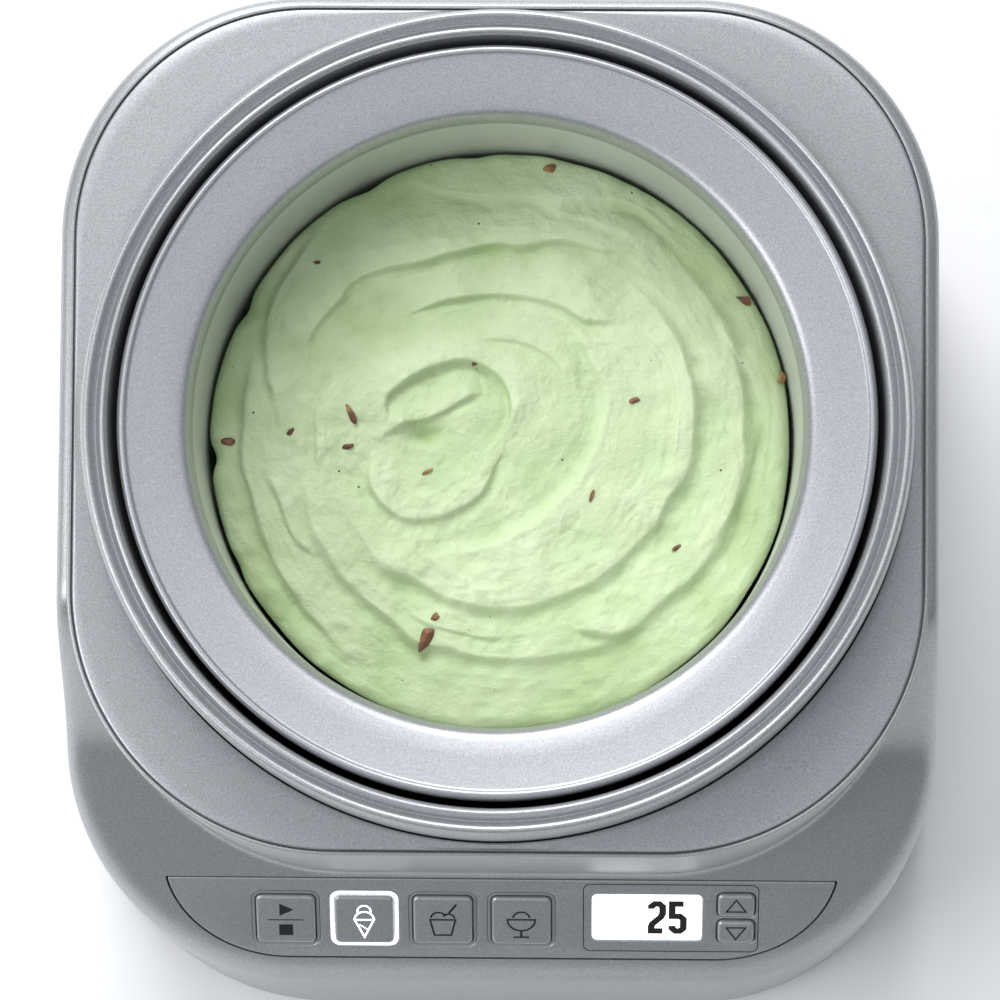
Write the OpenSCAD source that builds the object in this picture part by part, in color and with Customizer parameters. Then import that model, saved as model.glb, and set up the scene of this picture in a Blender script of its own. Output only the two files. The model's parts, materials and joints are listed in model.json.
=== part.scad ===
/* [Freezer bowl] */
// Radius of the freezer bowl at its rim
bowl_r = 92; // [89:0.5:112]
// Height of the freezer bowl
bowl_h = 153; // [125:1:185]
// Width of the double wall at the mouth of the freezer bowl
mouth_in = 18; // [15:0.5:21]
// Height of the cup's floor above the underside of the freezer bowl
cup_floor = 19; // [18:0.5:24]
// Share of the cup filled with ice cream
fill_share = 0.72; // [0.4:0.01:0.8]
// Gap between the bowl rim and the lid collar
bowl_gap = 1.9; // [1.5:0.1:2.5]
// How far the bowl rim lies below the collar
bowl_drop = 2; // [1:0.5:4]

/* [Body] */
// Height of the space for the drive below the freezer bowl
drive_h = 63; // [63:0.5:72]
// Depth of the control side in front of the lid collar, at the foot
front_d = 34.7; // [33.5:0.1:38]
// Depth behind the lid collar, at the foot
back_d = 14.3; // [14.3:0.1:24]
// Width beside the lid collar, at the foot
side_d = 16.2; // [15.6:0.1:22]
// How far the walls lean in on each side from foot to top
wall_lean = 9.7; // [7:0.1:9.7]
// Wall thickness of the silver housing
wall = 2.5; // [2:0.1:3]
// Radius of the front corners at the foot
foot_front_r = 68; // [62:1:74]
// Radius of the back corners at the foot
foot_back_r = 60; // [56:1:64]
// Radius of the front corners at the top edge
top_front_r = 48; // [44:1:56]
// Radius of the back corners at the top edge
top_back_r = 59; // [54:1:61]
// Gap between the bottom edge of the housing and the table
skirt_gap = 5; // [4:0.5:5.5]

/* [Tower] */
// Width of the tower beside the lid collar
tower_side = 4.2; // [3.6:0.1:5]
// Corner radius of the tower at the front
tower_front_r = 65; // [60:1:70]
// Corner radius of the tower at the back
tower_back_r = 58; // [54:1:62]
// Backward rise of the top cover, in degrees
top_tilt = 3.6; // [1:0.1:5]
// Thickness of the top cover
cover_t = 2.2; // [1.8:0.1:2.6]
// Width of the housing rim round the top cover
rim_w = 0.9; // [0.7:0.1:1.2]
// Seam between mouldings
seam = 0.3; // [0.2:0.05:0.5]

/* [Control deck] */
// Height of the front edge of the control deck
deck_front_z = 92; // [75:1:100]
// Slope of the control deck, in degrees
deck_slope = 40; // [36:1:42]
// Margin of the body on each side of the control panel
panel_side = 30; // [29:0.5:34]
// Height of the control panel along the slope
panel_h = 25.6; // [25.2:0.2:26]
// Height of the panel's lower edge along the slope
panel_low = 7; // [6.4:0.2:7.2]
// Radius of the panel's lower corners
panel_r = 31.5; // [29:0.5:34]
// Side of a square key
key_side = 15.4; // [12.8:0.2:15.6]
// Space between square keys
key_space = 5; // [4.8:0.1:5.4]
// Travel of every key
key_travel = 0.8; // [0.5:0.1:0.9]
// Width of the display window
window_w = 28.6; // [24:0.2:29]
// Height of the display window
window_h = 15; // [12:0.2:15.6]

/* [Drive] */
// Teeth on each large gear
gear_teeth = 60; // [60:1:60]
// Teeth on each small gear
pinion_teeth = 15; // [15:1:15]
// Gear module of the bowl stage
module_3 = 1.25; // [1.25:0.05:1.25]
// Gear module of the middle stage
module_2 = 1; // [1:0.05:1]
// Gear module of the motor stage
module_1 = 0.8; // [0.8:0.05:0.8]
// Radius of the output shaft
shaft_r = 4; // [3.5:0.25:5]
// Radius of the motor shaft
rotor_shaft_r = 2.5; // [2:0.25:3]
// Radius of the fixed gear pins
pin_r = 2; // [1.5:0.25:2.5]
// Radial running clearance of shafts and pins
running = 0.05; // [0.03:0.01:0.08]
// Radius of the rotor
rotor_r = 12.8; // [11:0.2:14]

/* [Hidden] */
$fn = 64;

// Colours
silver = [0.74, 0.75, 0.76];
pan_grey = [0.35, 0.36, 0.37];
rubber_black = [0.12, 0.12, 0.12];
steel = [0.62, 0.63, 0.65];
brass = [0.72, 0.6, 0.35];
gear_white = [0.9, 0.89, 0.84];
copper = [0.72, 0.42, 0.2];
board_green = [0.13, 0.4, 0.22];

// Overall sizes follow from the freezer bowl
collar_r = bowl_r + bowl_gap + 6.9;
body_w = 2 * (collar_r + side_d);
body_d = 2 * collar_r + front_d + back_d;
body_h = drive_h + bowl_h + bowl_drop;
tower_w = 2 * (collar_r + tower_side);
panel_w = body_w - 2 * panel_side;
mouth_r = bowl_r - mouth_in;
cup_depth = bowl_h - cup_floor;
fill_h = fill_share * cup_depth;
// Bowl axis: it lies behind the middle of the foot
bowl_y = (front_d - back_d) / 2;
top_z = body_h - 12;
// The bowl rests on the hub
hub_gap = 0.1;
hub_top_z = drive_h - hub_gap;
well_floor_z = hub_top_z - 5.9;
well_floor_t = 2.5;

// ---- Outlines ------------------------------------------------------------
// An outline is [half width, front y, back y, front corner radius, back corner radius].
function inset(o, d) = [o[0] - d, o[1] + d, o[2] - d, o[3] - d, o[4] - d];
foot_outline = [body_w / 2, -body_d / 2, body_d / 2, foot_front_r, foot_back_r];
top_outline = [
    body_w / 2 - wall_lean, wall_lean - body_d / 2, body_d / 2 - wall_lean, top_front_r, top_back_r];
tower_front_y = bowl_y - collar_r - 3.7;
tower_back_y = bowl_y + collar_r + 2.6;
tower_outline = [tower_w / 2, tower_front_y, tower_back_y, tower_front_r, tower_back_r];
tower_skin = 2;

// Points on one outline: corners of corner_n steps, sides, back and front in even steps.
corner_n = 14;
side_n = 24;
end_n = 5;
function arc_points(x, y, r, from) =
    [for (i = [0:corner_n]) [x + r * cos(from + 90 * i / corner_n), y + r * sin(from + 90 * i / corner_n)]];
function between(p, q, n) = [for (i = [1:n - 1]) p + (q - p) * i / n];
function outline_points(o) =
    let (front_x = o[0] - o[3], back_x = o[0] - o[4], low = o[1] + o[3], high = o[2] - o[4])
    concat(
        arc_points(front_x, low, o[3], -90),
        between([o[0], low], [o[0], high], side_n),
        arc_points(back_x, high, o[4], 0),
        between([back_x, o[2]], [-back_x, o[2]], end_n),
        arc_points(-back_x, high, o[4], 90),
        between([-o[0], high], [-o[0], low], side_n),
        arc_points(-front_x, low, o[3], 180),
        between([-front_x, o[1]], [front_x, o[1]], end_n));

// The point of an outline that is nearest to the point w outside it.
function nearest(o, w) =
    let (
        low = o[1] + o[3],
        high = o[2] - o[4],
        r = w[1] < low ? o[3] : o[4],
        c = [min(max(w[0], r - o[0]), o[0] - r), min(max(w[1], low), high)],
        d = w - c)
    w[1] < low || w[1] > high ? c + d * r / norm(d) : [sign(w[0]) * o[0], w[1]];

// Exact outline in two dimensions, with true arcs.
module outline_shape(o) {
    front_x = o[0] - o[3];
    back_x = o[0] - o[4];
    low = o[1] + o[3];
    high = o[2] - o[4];
    polygon([
        [front_x, o[1]], [o[0], low], [o[0], high], [back_x, o[2]],
        [-back_x, o[2]], [-o[0], high], [-o[0], low], [-front_x, o[1]]]);
    for (side = [-1, 1]) {
        translate([side * front_x, low]) circle(r = o[3]);
        translate([side * back_x, high]) circle(r = o[4]);
    }
}

// ---- Heights of the housing surface ----------------------------------------
// The wall point of column k at height z lies on a straight line from foot to top.
function wall_line(d) = [outline_points(inset(foot_outline, d)), outline_points(inset(top_outline, d))];
function wall_point(line, k, z) =
    line[0][k] + (line[1][k] - line[0][k]) * (z - skirt_gap) / (top_z - skirt_gap);

// The front edge line of the control deck.
deck_front_y = -body_d / 2 + wall_lean * (deck_front_z - skirt_gap) / (top_z - skirt_gap);
// The deck rises in one plane, then steeply at ramp_y, up to the edge round the tower.
ramp_y = deck_front_y + 61.2;
ramp_slope = 66;
cover_z = body_h - 16.5;
function cover_height(y) = cover_z + (y - bowl_y) * tan(top_tilt);
function soft_min(a, b, s) = min(a, b) - pow(max(s - abs(a - b), 0), 2) / (4 * s);
function soft_max(a, b, s) = -soft_min(-a, -b, s);
function plane_height(y) = deck_front_z + (y - deck_front_y) * tan(deck_slope);
function ramp_height(y) = plane_height(ramp_y) + (y - ramp_y) * tan(ramp_slope);
// part is 0 at the outer edge and 1 at the foot of the tower.
function deck_height(y, part) =
    soft_min(soft_max(plane_height(y), ramp_height(y), 9), cover_height(y) - 1.8 + 1.4 * part, 12);

edge_r = 1.8;
deck_t = 2.3;
module outer_shell() {
    outer = wall_line(0);
    rolled = wall_line(edge_r);
    inner = wall_line(wall);
    rim_outline = inset(tower_outline, rim_w);
    skin_outline = inset(tower_outline, tower_skin);
    n = len(outer[0]);
    columns = [for (k = [0:n - 1])
        let (
            guess = deck_height(wall_point(outer, k, deck_front_z + 40)[1], 0),
            edge_z = deck_height(wall_point(outer, k, guess)[1], 0),
            edge = wall_point(outer, k, edge_z),
            low = wall_point(outer, k, edge_z - edge_r),
            start = wall_point(rolled, k, edge_z),
            start_z = deck_height(start[1], 0),
            t = nearest(tower_outline, start),
            step1 = start + (t - start) / 3,
            step2 = start + (t - start) * 2 / 3,
            foot_z = deck_height(t[1], 1),
            top = cover_height(t[1]),
            in_wall = wall_point(inner, k, edge_z - deck_t - 1),
            rim = nearest(rim_outline, start),
            s = nearest(skin_outline, start),
            under1 = s + (in_wall - s) / 3,
            under2 = s + (in_wall - s) * 2 / 3,
            ledge_z = cover_height(s[1]) - cover_t - 0.15,
            under_z = min(foot_z - deck_t, ledge_z - 1.5),
            p = function (xy, z) [xy[0], xy[1], z])
        [
            p(wall_point(outer, k, skirt_gap), skirt_gap),
            p(low, edge_z - edge_r),
            p((low + 2 * edge + start) / 4, (edge_z - edge_r + 2 * edge_z + start_z) / 4),
            p(start, start_z),
            p(step1, deck_height(step1[1], 1 / 3)),
            p(step2, deck_height(step2[1], 2 / 3)),
            p(t, foot_z),
            p(t, top),
            p(rim, cover_height(rim[1])),
            p(rim, ledge_z),
            p(s, ledge_z),
            p(s, under_z),
            p(under1, min(deck_height(under1[1], 2 / 3) - deck_t, under_z + 6 * max(0, top - foot_z))),
            p(under2, min(deck_height(under2[1], 1 / 3) - deck_t, under_z + 6 * max(0, top - foot_z))),
            p(in_wall, min(deck_height(in_wall[1], 0) - deck_t, edge_z - deck_t)),
            p(wall_point(inner, k, skirt_gap), skirt_gap)
        ]];
    m = len(columns[0]);
    function at(k, j) = (k % n) * m + (j % m);
    polyhedron(
        points = [for (c = columns) each c],
        faces = [for (k = [0:n - 1]) for (j = [0:m - 1])
            each [[at(k, j), at(k, j + 1), at(k + 1, j)], [at(k + 1, j), at(k, j + 1), at(k + 1, j + 1)]]],
        convexity = 10);
}

// ---- Panel frame ---------------------------------------------------------
// x runs across, y up the slope from the deck's front edge, z out of the deck.
module on_panel() {
    translate([0, deck_front_y, deck_front_z]) rotate([deck_slope, 0, 0]) children();
}

// Rectangle with round corners, centred, with true arcs.
module round_rect(w, h, r) {
    square([w - 2 * r, h], center = true);
    square([w, h - 2 * r], center = true);
    for (x = [-1, 1]) for (y = [-1, 1])
        translate([x * (w / 2 - r), y * (h / 2 - r)]) circle(r = r);
}

// Panel outline: straight top edge and two large lower corners. grow makes it bigger all round.
module panel_shape(grow) {
    arc_x = panel_w / 2 - panel_r;
    top = panel_low + panel_h + grow;
    intersection() {
        union() {
            translate([-arc_x, panel_low - grow]) square([2 * arc_x, panel_h + 2 * grow]);
            for (side = [-1, 1])
                translate([side * arc_x, panel_low + panel_r]) circle(r = panel_r + grow);
        }
        translate([-panel_w, 0]) square([2 * panel_w, top]);
    }
}

panel_t = 2;
panel_skirt = 3;
// The panel's lip runs along its straight lower edge, behind the deck.
lip_out = 2.4;
// A row of four keys, the display and two arrow keys share the panel, a little right of its middle.
key_y = 19.6;
guide_w = 0.8;
key_gap = 0.3;
key_hole = key_side + 2 * (key_gap + guide_w);
key_pitch = key_side + key_space;
arrow_w = 9.6;
arrow_h = 7.4;
arrow_y = [25, 16.4];
window_y = 20.5;
row_gap = 10.6;
arrow_space = 4;
row_w = 4 * key_side + 3 * key_space + row_gap + window_w + arrow_space + arrow_w;
row_x = 1 - row_w / 2;
key_x = [for (i = [0:3]) row_x + key_side / 2 + key_pitch * i];
window_x = key_x[3] + key_side / 2 + row_gap + window_w / 2;
arrow_x = window_x + window_w / 2 + arrow_space + arrow_w / 2;
board_z = -11;
board_t = 1.6;
board_mid_y = 20;
// The board stops short of the well behind it.
board_h = 25;
board_w = 150;
board_screw_r = 1.2;
board_posts = [4 - board_w / 2, board_w / 2 - 4];
// The point x across, y up the slope and z out of the panel, in the frame of the whole part.
function panel_point(x, y, z) = [
    x,
    deck_front_y + y * cos(deck_slope) - z * sin(deck_slope),
    deck_front_z + y * sin(deck_slope) + z * cos(deck_slope)];

// ---- Housing -------------------------------------------------------------
inlet_x = 48;
inlet_z = 40;
inlet_r = 3.6;
grommet_r = 6.4;
lean_angle = atan(wall_lean / (top_z - skirt_gap));
inlet_y = body_d / 2 - wall_lean * (inlet_z - skirt_gap) / (top_z - skirt_gap);
module at_inlet() {
    translate([inlet_x, inlet_y, inlet_z]) rotate([lean_angle - 90, 0, 0]) children();
}

// The bosses stand in the corners, each joined to the wall.
boss_r = 4.5;
boss_in = 6.7;
boss_top_z = skirt_gap + 25;
function boss_out(corner_r) = corner_r - (corner_r - boss_in) * sqrt(0.5);
pan_t = 2.5;
pan_z = skirt_gap + 0.5;
pan_top_z = pan_z + pan_t;
screw_r = 1.7;
screw_head_r = 3.2;
module at_bosses() {
    for (x = [-1, 1]) for (y = [-1, 1]) {
        out = boss_out(y < 0 ? foot_front_r : foot_back_r);
        translate([x * (body_w / 2 - out), y * (body_d / 2 - out), 0]) children();
    }
}

module outer_housing() {
    color(silver) difference() {
        union() {
            outer_shell();
            at_bosses() translate([0, 0, pan_top_z]) cylinder(r = boss_r, h = boss_top_z - pan_top_z);
        }
        on_panel() translate([0, 0, -8]) linear_extrude(16) panel_shape(seam);
        at_inlet() translate([0, 0, -12]) cylinder(r = grommet_r + 0.1, h = 24);
        at_bosses() translate([0, 0, pan_top_z - 1]) cylinder(r = screw_r, h = thread_in + 1);
    }
}

cover_outline = inset(tower_outline, rim_w + seam);
module top_cover() {
    color(silver) difference() {
        intersection() {
            linear_extrude(2 * body_h) outline_shape(cover_outline);
            translate([0, bowl_y, cover_z]) rotate([top_tilt, 0, 0])
                translate([-body_w, -body_d, -cover_t]) cube([2 * body_w, 2 * body_d, cover_t]);
        }
        translate([0, bowl_y, 0]) cylinder(r = collar_r + 0.35, h = 2 * body_h, $fn = 128);
    }
}

// The well and the lid collar are one moulding.
collar_skirt = 29;
well_mouth_r = bowl_r + bowl_gap;
well_draft = 3.3;
leg_r = 5;
leg_d = well_mouth_r - well_draft - 5.6;
leg_angles = [340, 28, 100, 165, 230];
mount_angles = [75, 195, 315];
mount_d = 36;
hub_boss_r = 9;
mount_r = 4;
thread_in = 12;
module at_legs() {
    translate([0, bowl_y, 0]) for (a = leg_angles) rotate(a) translate([leg_d, 0, 0]) children();
}
module at_mounts() {
    translate([0, bowl_y, 0]) for (a = mount_angles) rotate(a) translate([mount_d, 0, 0]) children();
}

module bowl_well() {
    low_r = well_mouth_r - well_draft;
    color(silver) difference() {
        union() {
            well_body(low_r);
            at_legs() translate([0, 0, pan_top_z]) cylinder(r = leg_r, h = well_floor_z - 1 - pan_top_z);
            at_mounts() translate([0, 0, plate_top_z]) cylinder(r = mount_r, h = well_floor_z - 1 - plate_top_z);
        }
        at_legs() translate([0, 0, pan_top_z - 1]) cylinder(r = screw_r, h = thread_in + 1);
        at_mounts() translate([0, 0, plate_top_z - 1]) cylinder(r = screw_r, h = mount_thread + 1);
    }
}

module well_body(low_r) {
    translate([0, bowl_y, 0]) rotate_extrude($fn = 180) polygon([
            [hub_boss_r + 3, well_floor_z - well_floor_t],
            [low_r - 2.6, well_floor_z - well_floor_t],
            [low_r + 2.6, well_floor_z + 2.7],
            [well_mouth_r + 2.4, body_h - 6],
            [collar_r - 2.3, body_h - 4.8],
            [collar_r - 2.3, body_h - collar_skirt],
            [collar_r, body_h - collar_skirt],
            [collar_r, body_h - 2.2],
            [collar_r - 0.8, body_h - 0.5],
            [collar_r - 1.9, body_h],
            [collar_r - 2.5, body_h - 0.4],
            [collar_r - 3, body_h - 2.3],
            [collar_r - 3.7, body_h - 2.8],
            [collar_r - 4.2, body_h - 2.2],
            [collar_r - 4.6, body_h - 1.1],
            [collar_r - 5.5, body_h - 0.8],
            [collar_r - 6.4, body_h - 1.3],
            [well_mouth_r, body_h - 3],
            [low_r, well_floor_z + 4],
            [low_r - 4, well_floor_z],
            [hub_boss_r + 3, well_floor_z]]);
}

// ---- Base pan ------------------------------------------------------------
foot_pad_r = 10;
foot_x = body_w / 2 - 34;
foot_y = body_d / 2 - 36;
vent_n = 7;
vent_pitch = 7;
module at_feet() {
    for (x = [-1, 1]) for (y = [-1, 1]) translate([x * foot_x, y * foot_y, 0]) children();
}

module base_pan() {
    pan_outline = inset(foot_outline, wall + 0.6);
    color(pan_grey) difference() {
        translate([0, 0, pan_z]) linear_extrude(pan_t) outline_shape(pan_outline);
        at_feet() translate([0, 0, pan_z - 1]) cylinder(r = 3.1, h = pan_t + 2);
        at_bosses() translate([0, 0, pan_z - 1]) cylinder(r = screw_r + 0.3, h = pan_t + 2);
        at_legs() translate([0, 0, pan_z - 1]) cylinder(r = screw_r + 0.3, h = pan_t + 2);
        for (i = [0:vent_n - 1])
            translate([motor_x, motor_y + vent_pitch * (i - (vent_n - 1) / 2), pan_z - 1])
                linear_extrude(pan_t + 2) round_rect(44, 2.6, 1.2);
        for (i = [0:vent_n - 1])
            translate([-46, 70 + vent_pitch * (i - (vent_n - 1) / 2), pan_z - 1])
                linear_extrude(pan_t + 2) round_rect(44, 2.6, 1.2);
    }
}

module rubber_feet() {
    color(rubber_black) at_feet() {
        cylinder(r = foot_pad_r, h = pan_z);
        cylinder(r = 3, h = pan_top_z + 2);
    }
}

// Pan-head screw, head down at z = 0.
module screw(shank_r, length) {
    translate([0, 0, -1.6]) cylinder(r = screw_head_r, h = 1.6);
    cylinder(r = shank_r, h = length);
}

module base_screws() {
    color(steel) {
        at_bosses() translate([0, 0, pan_z]) screw(screw_r, 12);
        at_legs() translate([0, 0, pan_z]) screw(screw_r, 12);
    }
}

module cord_grommet() {
    color(rubber_black) at_inlet() difference() {
        union() {
            translate([0, 0, 0.05]) cylinder(r = 8.5, h = 1.1);
            translate([0, 0, -10]) cylinder(r = grommet_r, h = 11);
            translate([0, 0, -wall - 2.2]) cylinder(r = 8, h = 2);
        }
        translate([0, 0, -11]) cylinder(r = inlet_r, h = 14);
    }
}

// ---- Gear train ----------------------------------------------------------
pressure = 20;
backlash = 0.2;
function involute(r, base_r) =
    let (t = sqrt(max(pow(r / base_r, 2) - 1, 0))) t * 180 / PI - atan(t);
// Half of the tooth's angle at radius r.
function half_tooth(r, teeth, m) =
    let (pitch_r = teeth * m / 2, base_r = pitch_r * cos(pressure))
    90 / teeth - backlash / 4 / pitch_r * 180 / PI
    + involute(pitch_r, base_r) - involute(max(r, base_r), base_r);
function tooth_points(teeth, m, middle) =
    let (
        pitch_r = teeth * m / 2,
        root_r = pitch_r - 1.25 * m,
        tip_r = pitch_r + 0.9 * m,
        low_r = max(root_r, pitch_r * cos(pressure)),
        radii = concat([root_r], [for (i = [0:4]) low_r + (tip_r - low_r) * i / 4]))
    concat(
        [for (r = radii) let (a = middle - half_tooth(r, teeth, m)) [r * cos(a), r * sin(a)]],
        [for (i = [5:-1:0]) let (r = radii[i], a = middle + half_tooth(r, teeth, m)) [r * cos(a), r * sin(a)]]);
// Gear with one tooth, or with gap = true one gap, pointing at the angle aim.
module gear_shape(teeth, m, aim, gap = false) {
    shift = gap ? 180 / teeth : 0;
    polygon([for (i = [0:teeth - 1]) each tooth_points(teeth, m, aim + shift + 360 * i / teeth)]);
}
function pair_distance(m) = (gear_teeth + pinion_teeth) * m / 2;

// The train runs from the bowl axis forward to the motor at the front right.
aim_32 = -105;
middle_x = pair_distance(module_3) * cos(aim_32);
middle_y = bowl_y + pair_distance(module_3) * sin(aim_32);
aim_21 = -50;
first_x = middle_x + pair_distance(module_2) * cos(aim_21);
first_y = middle_y + pair_distance(module_2) * sin(aim_21);
aim_10 = 0;
motor_x = first_x + pair_distance(module_1) * cos(aim_10);
motor_y = first_y + pair_distance(module_1) * sin(aim_10);

plate_t = 2.5;
plate_low_z = 12;
plate_low_top = plate_low_z + plate_t;
plate_top_z = well_floor_z - well_floor_t - 4;
plate_high_z = plate_top_z - plate_t;
first_gear_z = plate_low_top + 6;
middle_gear_z = first_gear_z + 7.5;
output_gear_z = middle_gear_z + 8.5;
pinion_over = 0.5;
face_1 = 5;
face_2 = 6;
face_3 = 7;

module plate_shape(bottom) {
    translate([0, bowl_y]) circle(r = 50);
    translate([middle_x, middle_y]) circle(r = 39.5);
    translate([first_x, first_y]) circle(r = bottom ? 30 : 16);
    if (bottom) translate([motor_x, motor_y]) circle(r = 34);
}
post_r = 3.5;
post_d = 35.5;
post_spots = [
    [-43, bowl_y + 15],
    [43, bowl_y + 15],
    [middle_x + post_d * cos(195), middle_y + post_d * sin(195)],
    [middle_x + post_d * cos(250), middle_y + post_d * sin(250)]];
mount_thread = 5;

module gearbox_bottom_plate() {
    color(steel) difference() {
        translate([0, 0, plate_low_z]) linear_extrude(plate_t) plate_shape(true);
        translate([0, bowl_y, plate_low_z - 1]) cylinder(r = shaft_r + 2.5, h = plate_t + 2);
        translate([motor_x, motor_y, plate_low_z - 1]) cylinder(r = rotor_shaft_r + 0.8, h = plate_t + 2);
        translate([middle_x, middle_y, plate_low_z - 1]) cylinder(r = pin_r, h = plate_t + 2);
        translate([first_x, first_y, plate_low_z - 1]) cylinder(r = pin_r, h = plate_t + 2);
        for (s = post_spots) translate([s[0], s[1], plate_low_z - 1]) cylinder(r = screw_r, h = plate_t + 2);
        at_motor() for (s = motor_spots) translate([s[0], s[1], plate_low_z - 1])
            cylinder(r = screw_r, h = plate_t + 2);
    }
}

module gearbox_top_plate() {
    color(steel) {
        difference() {
            translate([0, 0, plate_high_z]) linear_extrude(plate_t) plate_shape(false);
            translate([0, bowl_y, plate_high_z - 1]) cylinder(r = shaft_r + 2.5, h = plate_t + 2);
            translate([middle_x, middle_y, plate_high_z - 1]) cylinder(r = pin_r, h = plate_t + 2);
            translate([first_x, first_y, plate_high_z - 1]) cylinder(r = pin_r, h = plate_t + 2);
            at_mounts() translate([0, 0, plate_high_z - 1]) cylinder(r = screw_r, h = plate_t + 2);
        }
        for (s = post_spots) translate([s[0], s[1], plate_low_top]) difference() {
            cylinder(r = post_r, h = plate_high_z - plate_low_top);
            translate([0, 0, -1]) cylinder(r = screw_r, h = 9);
        }
    }
}

module gearbox_screws() {
    color(steel) {
        for (s = post_spots) translate([s[0], s[1], plate_low_z]) screw(screw_r, 9);
        at_mounts() translate([0, 0, plate_high_z]) screw(screw_r, plate_t + mount_thread);
    }
}

// Each pin has a collar below and above its gear.
pin_collar_r = 4;
end_play = 0.2;
module gear_pin(x, y, low, high) {
    translate([x, y, 0]) {
        translate([0, 0, plate_low_z]) cylinder(r = pin_r, h = plate_top_z - plate_low_z);
        translate([0, 0, plate_low_top]) cylinder(r = pin_collar_r, h = low - end_play - plate_low_top);
        translate([0, 0, high + end_play]) cylinder(r = pin_collar_r, h = plate_high_z - high - end_play);
    }
}
module gear_pins() {
    color(steel) {
        gear_pin(middle_x, middle_y, middle_gear_z, output_gear_z + face_3 + pinion_over);
        gear_pin(first_x, first_y, first_gear_z, middle_gear_z + face_2 + pinion_over);
    }
}

module output_bushes() {
    color(brass) for (z = [plate_low_z, plate_high_z]) translate([0, bowl_y, z]) difference() {
        cylinder(r = shaft_r + 2.5, h = plate_t);
        translate([0, 0, -1]) cylinder(r = shaft_r + running, h = plate_t + 2);
    }
}

module output_shaft() {
    color(steel) translate([0, bowl_y, plate_low_z - 1]) cylinder(r = shaft_r, h = hub_top_z - plate_low_z);
}

module output_gear() {
    color(gear_white) translate([0, bowl_y, output_gear_z]) difference() {
        union() {
            linear_extrude(face_3) gear_shape(gear_teeth, module_3, aim_32);
            translate([0, 0, -3]) cylinder(r = shaft_r + 4, h = face_3 + 3.6);
        }
        translate([0, 0, -4]) cylinder(r = shaft_r, h = face_3 + 6);
    }
}

module middle_gear() {
    low = middle_gear_z;
    color(gear_white) translate([middle_x, middle_y, 0]) difference() {
        union() {
            translate([0, 0, low]) linear_extrude(face_2) gear_shape(gear_teeth, module_2, aim_21);
            translate([0, 0, low + face_2]) linear_extrude(output_gear_z - low - face_2 + face_3 + pinion_over)
                gear_shape(pinion_teeth, module_3, aim_32 + 180, true);
        }
        translate([0, 0, low - 1]) cylinder(r = pin_r + running, h = 60);
    }
}

module first_gear() {
    low = first_gear_z;
    color(gear_white) translate([first_x, first_y, 0]) difference() {
        union() {
            translate([0, 0, low]) linear_extrude(face_1) gear_shape(gear_teeth, module_1, aim_10);
            translate([0, 0, low + face_1]) linear_extrude(middle_gear_z - low - face_1 + face_2 + pinion_over)
                gear_shape(pinion_teeth, module_2, aim_21 + 180, true);
        }
        translate([0, 0, low - 1]) cylinder(r = pin_r + running, h = 60);
    }
}

module motor_pinion() {
    color(brass) translate([motor_x, motor_y, first_gear_z - pinion_over]) difference() {
        linear_extrude(face_1 + 2 * pinion_over) gear_shape(pinion_teeth, module_1, aim_10 + 180, true);
        translate([0, 0, -1]) cylinder(r = rotor_shaft_r, h = face_1 + 4);
    }
}

// ---- Motor ---------------------------------------------------------------
stack_z = first_gear_z + face_1 + 6;
stack_h = 14;
bore_gap = 0.5;
core_front = 19;
core_back = 47;
core_half = 24;
leg_w = 12;
window_half = 15;
bracket_t = 2;
rotor_stand_off = 3;
motor_spots = [for (x = [-9, 14]) for (y = [-19, 19]) [x, y]];
module at_motor() {
    translate([motor_x, motor_y, 0]) children();
}

module stator_core() {
    color(steel) at_motor() translate([0, 0, stack_z]) linear_extrude(stack_h) difference() {
        translate([-core_front, -core_half]) square([core_front + core_back, 2 * core_half]);
        circle(r = rotor_r + bore_gap);
        translate([21, -window_half]) square([core_back - leg_w - 21, 2 * window_half]);
        for (s = motor_spots) translate(s) circle(r = screw_r + 0.1);
    }
}

coil_half = 13.5;
coil_reach = 8;
module around_leg(reach, half) {
    mid = core_back - leg_w / 2;
    translate([mid - leg_w / 2 - reach, -half, stack_z - reach])
        cube([leg_w + 2 * reach, 2 * half, stack_h + 2 * reach]);
}

module coil_bobbin() {
    color("white") at_motor() difference() {
        union() {
            around_leg(1.2, coil_half);
            for (y = [-coil_half - 1.2, coil_half]) translate([0, y, 0]) intersection() {
                translate([0, 0.6, 0]) around_leg(coil_reach + 0.5, 0.6);
                translate([-200, 0, 0]) cube([400, 1.2, 200]);
            }
        }
        around_leg(0.1, 30);
    }
}

module motor_coil() {
    color(copper) at_motor() difference() {
        around_leg(coil_reach, coil_half - 0.1);
        around_leg(1.3, 30);
    }
}

// Strap brackets above and below the core carry the two motor bearings. The lower one stands on
// sleeves on the bottom plate.
module motor_brackets() {
    top_z = stack_z + stack_h;
    color(steel) at_motor() difference() {
        union() {
            translate([-13, -22, stack_z - rotor_stand_off - bracket_t]) cube([30, 44, bracket_t]);
            translate([-13, -22, top_z + rotor_stand_off]) cube([30, 44, bracket_t]);
            for (s = motor_spots) translate([s[0], s[1], 0]) {
                translate([0, 0, plate_low_top]) cylinder(r = 3, h = stack_z - plate_low_top);
                translate([0, 0, top_z]) cylinder(r = 3, h = rotor_stand_off);
            }
        }
        cylinder(r = rotor_shaft_r + 2.5, h = body_h);
        for (s = motor_spots) translate([s[0], s[1], 0]) cylinder(r = screw_r + 0.1, h = body_h);
    }
}

module motor_bearings() {
    color(brass) at_motor() for (z = [stack_z - rotor_stand_off - bracket_t, stack_z + stack_h + rotor_stand_off])
        translate([0, 0, z]) difference() {
            cylinder(r = rotor_shaft_r + 2.5, h = bracket_t);
            translate([0, 0, -1]) cylinder(r = rotor_shaft_r + running, h = bracket_t + 2);
        }
}

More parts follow.
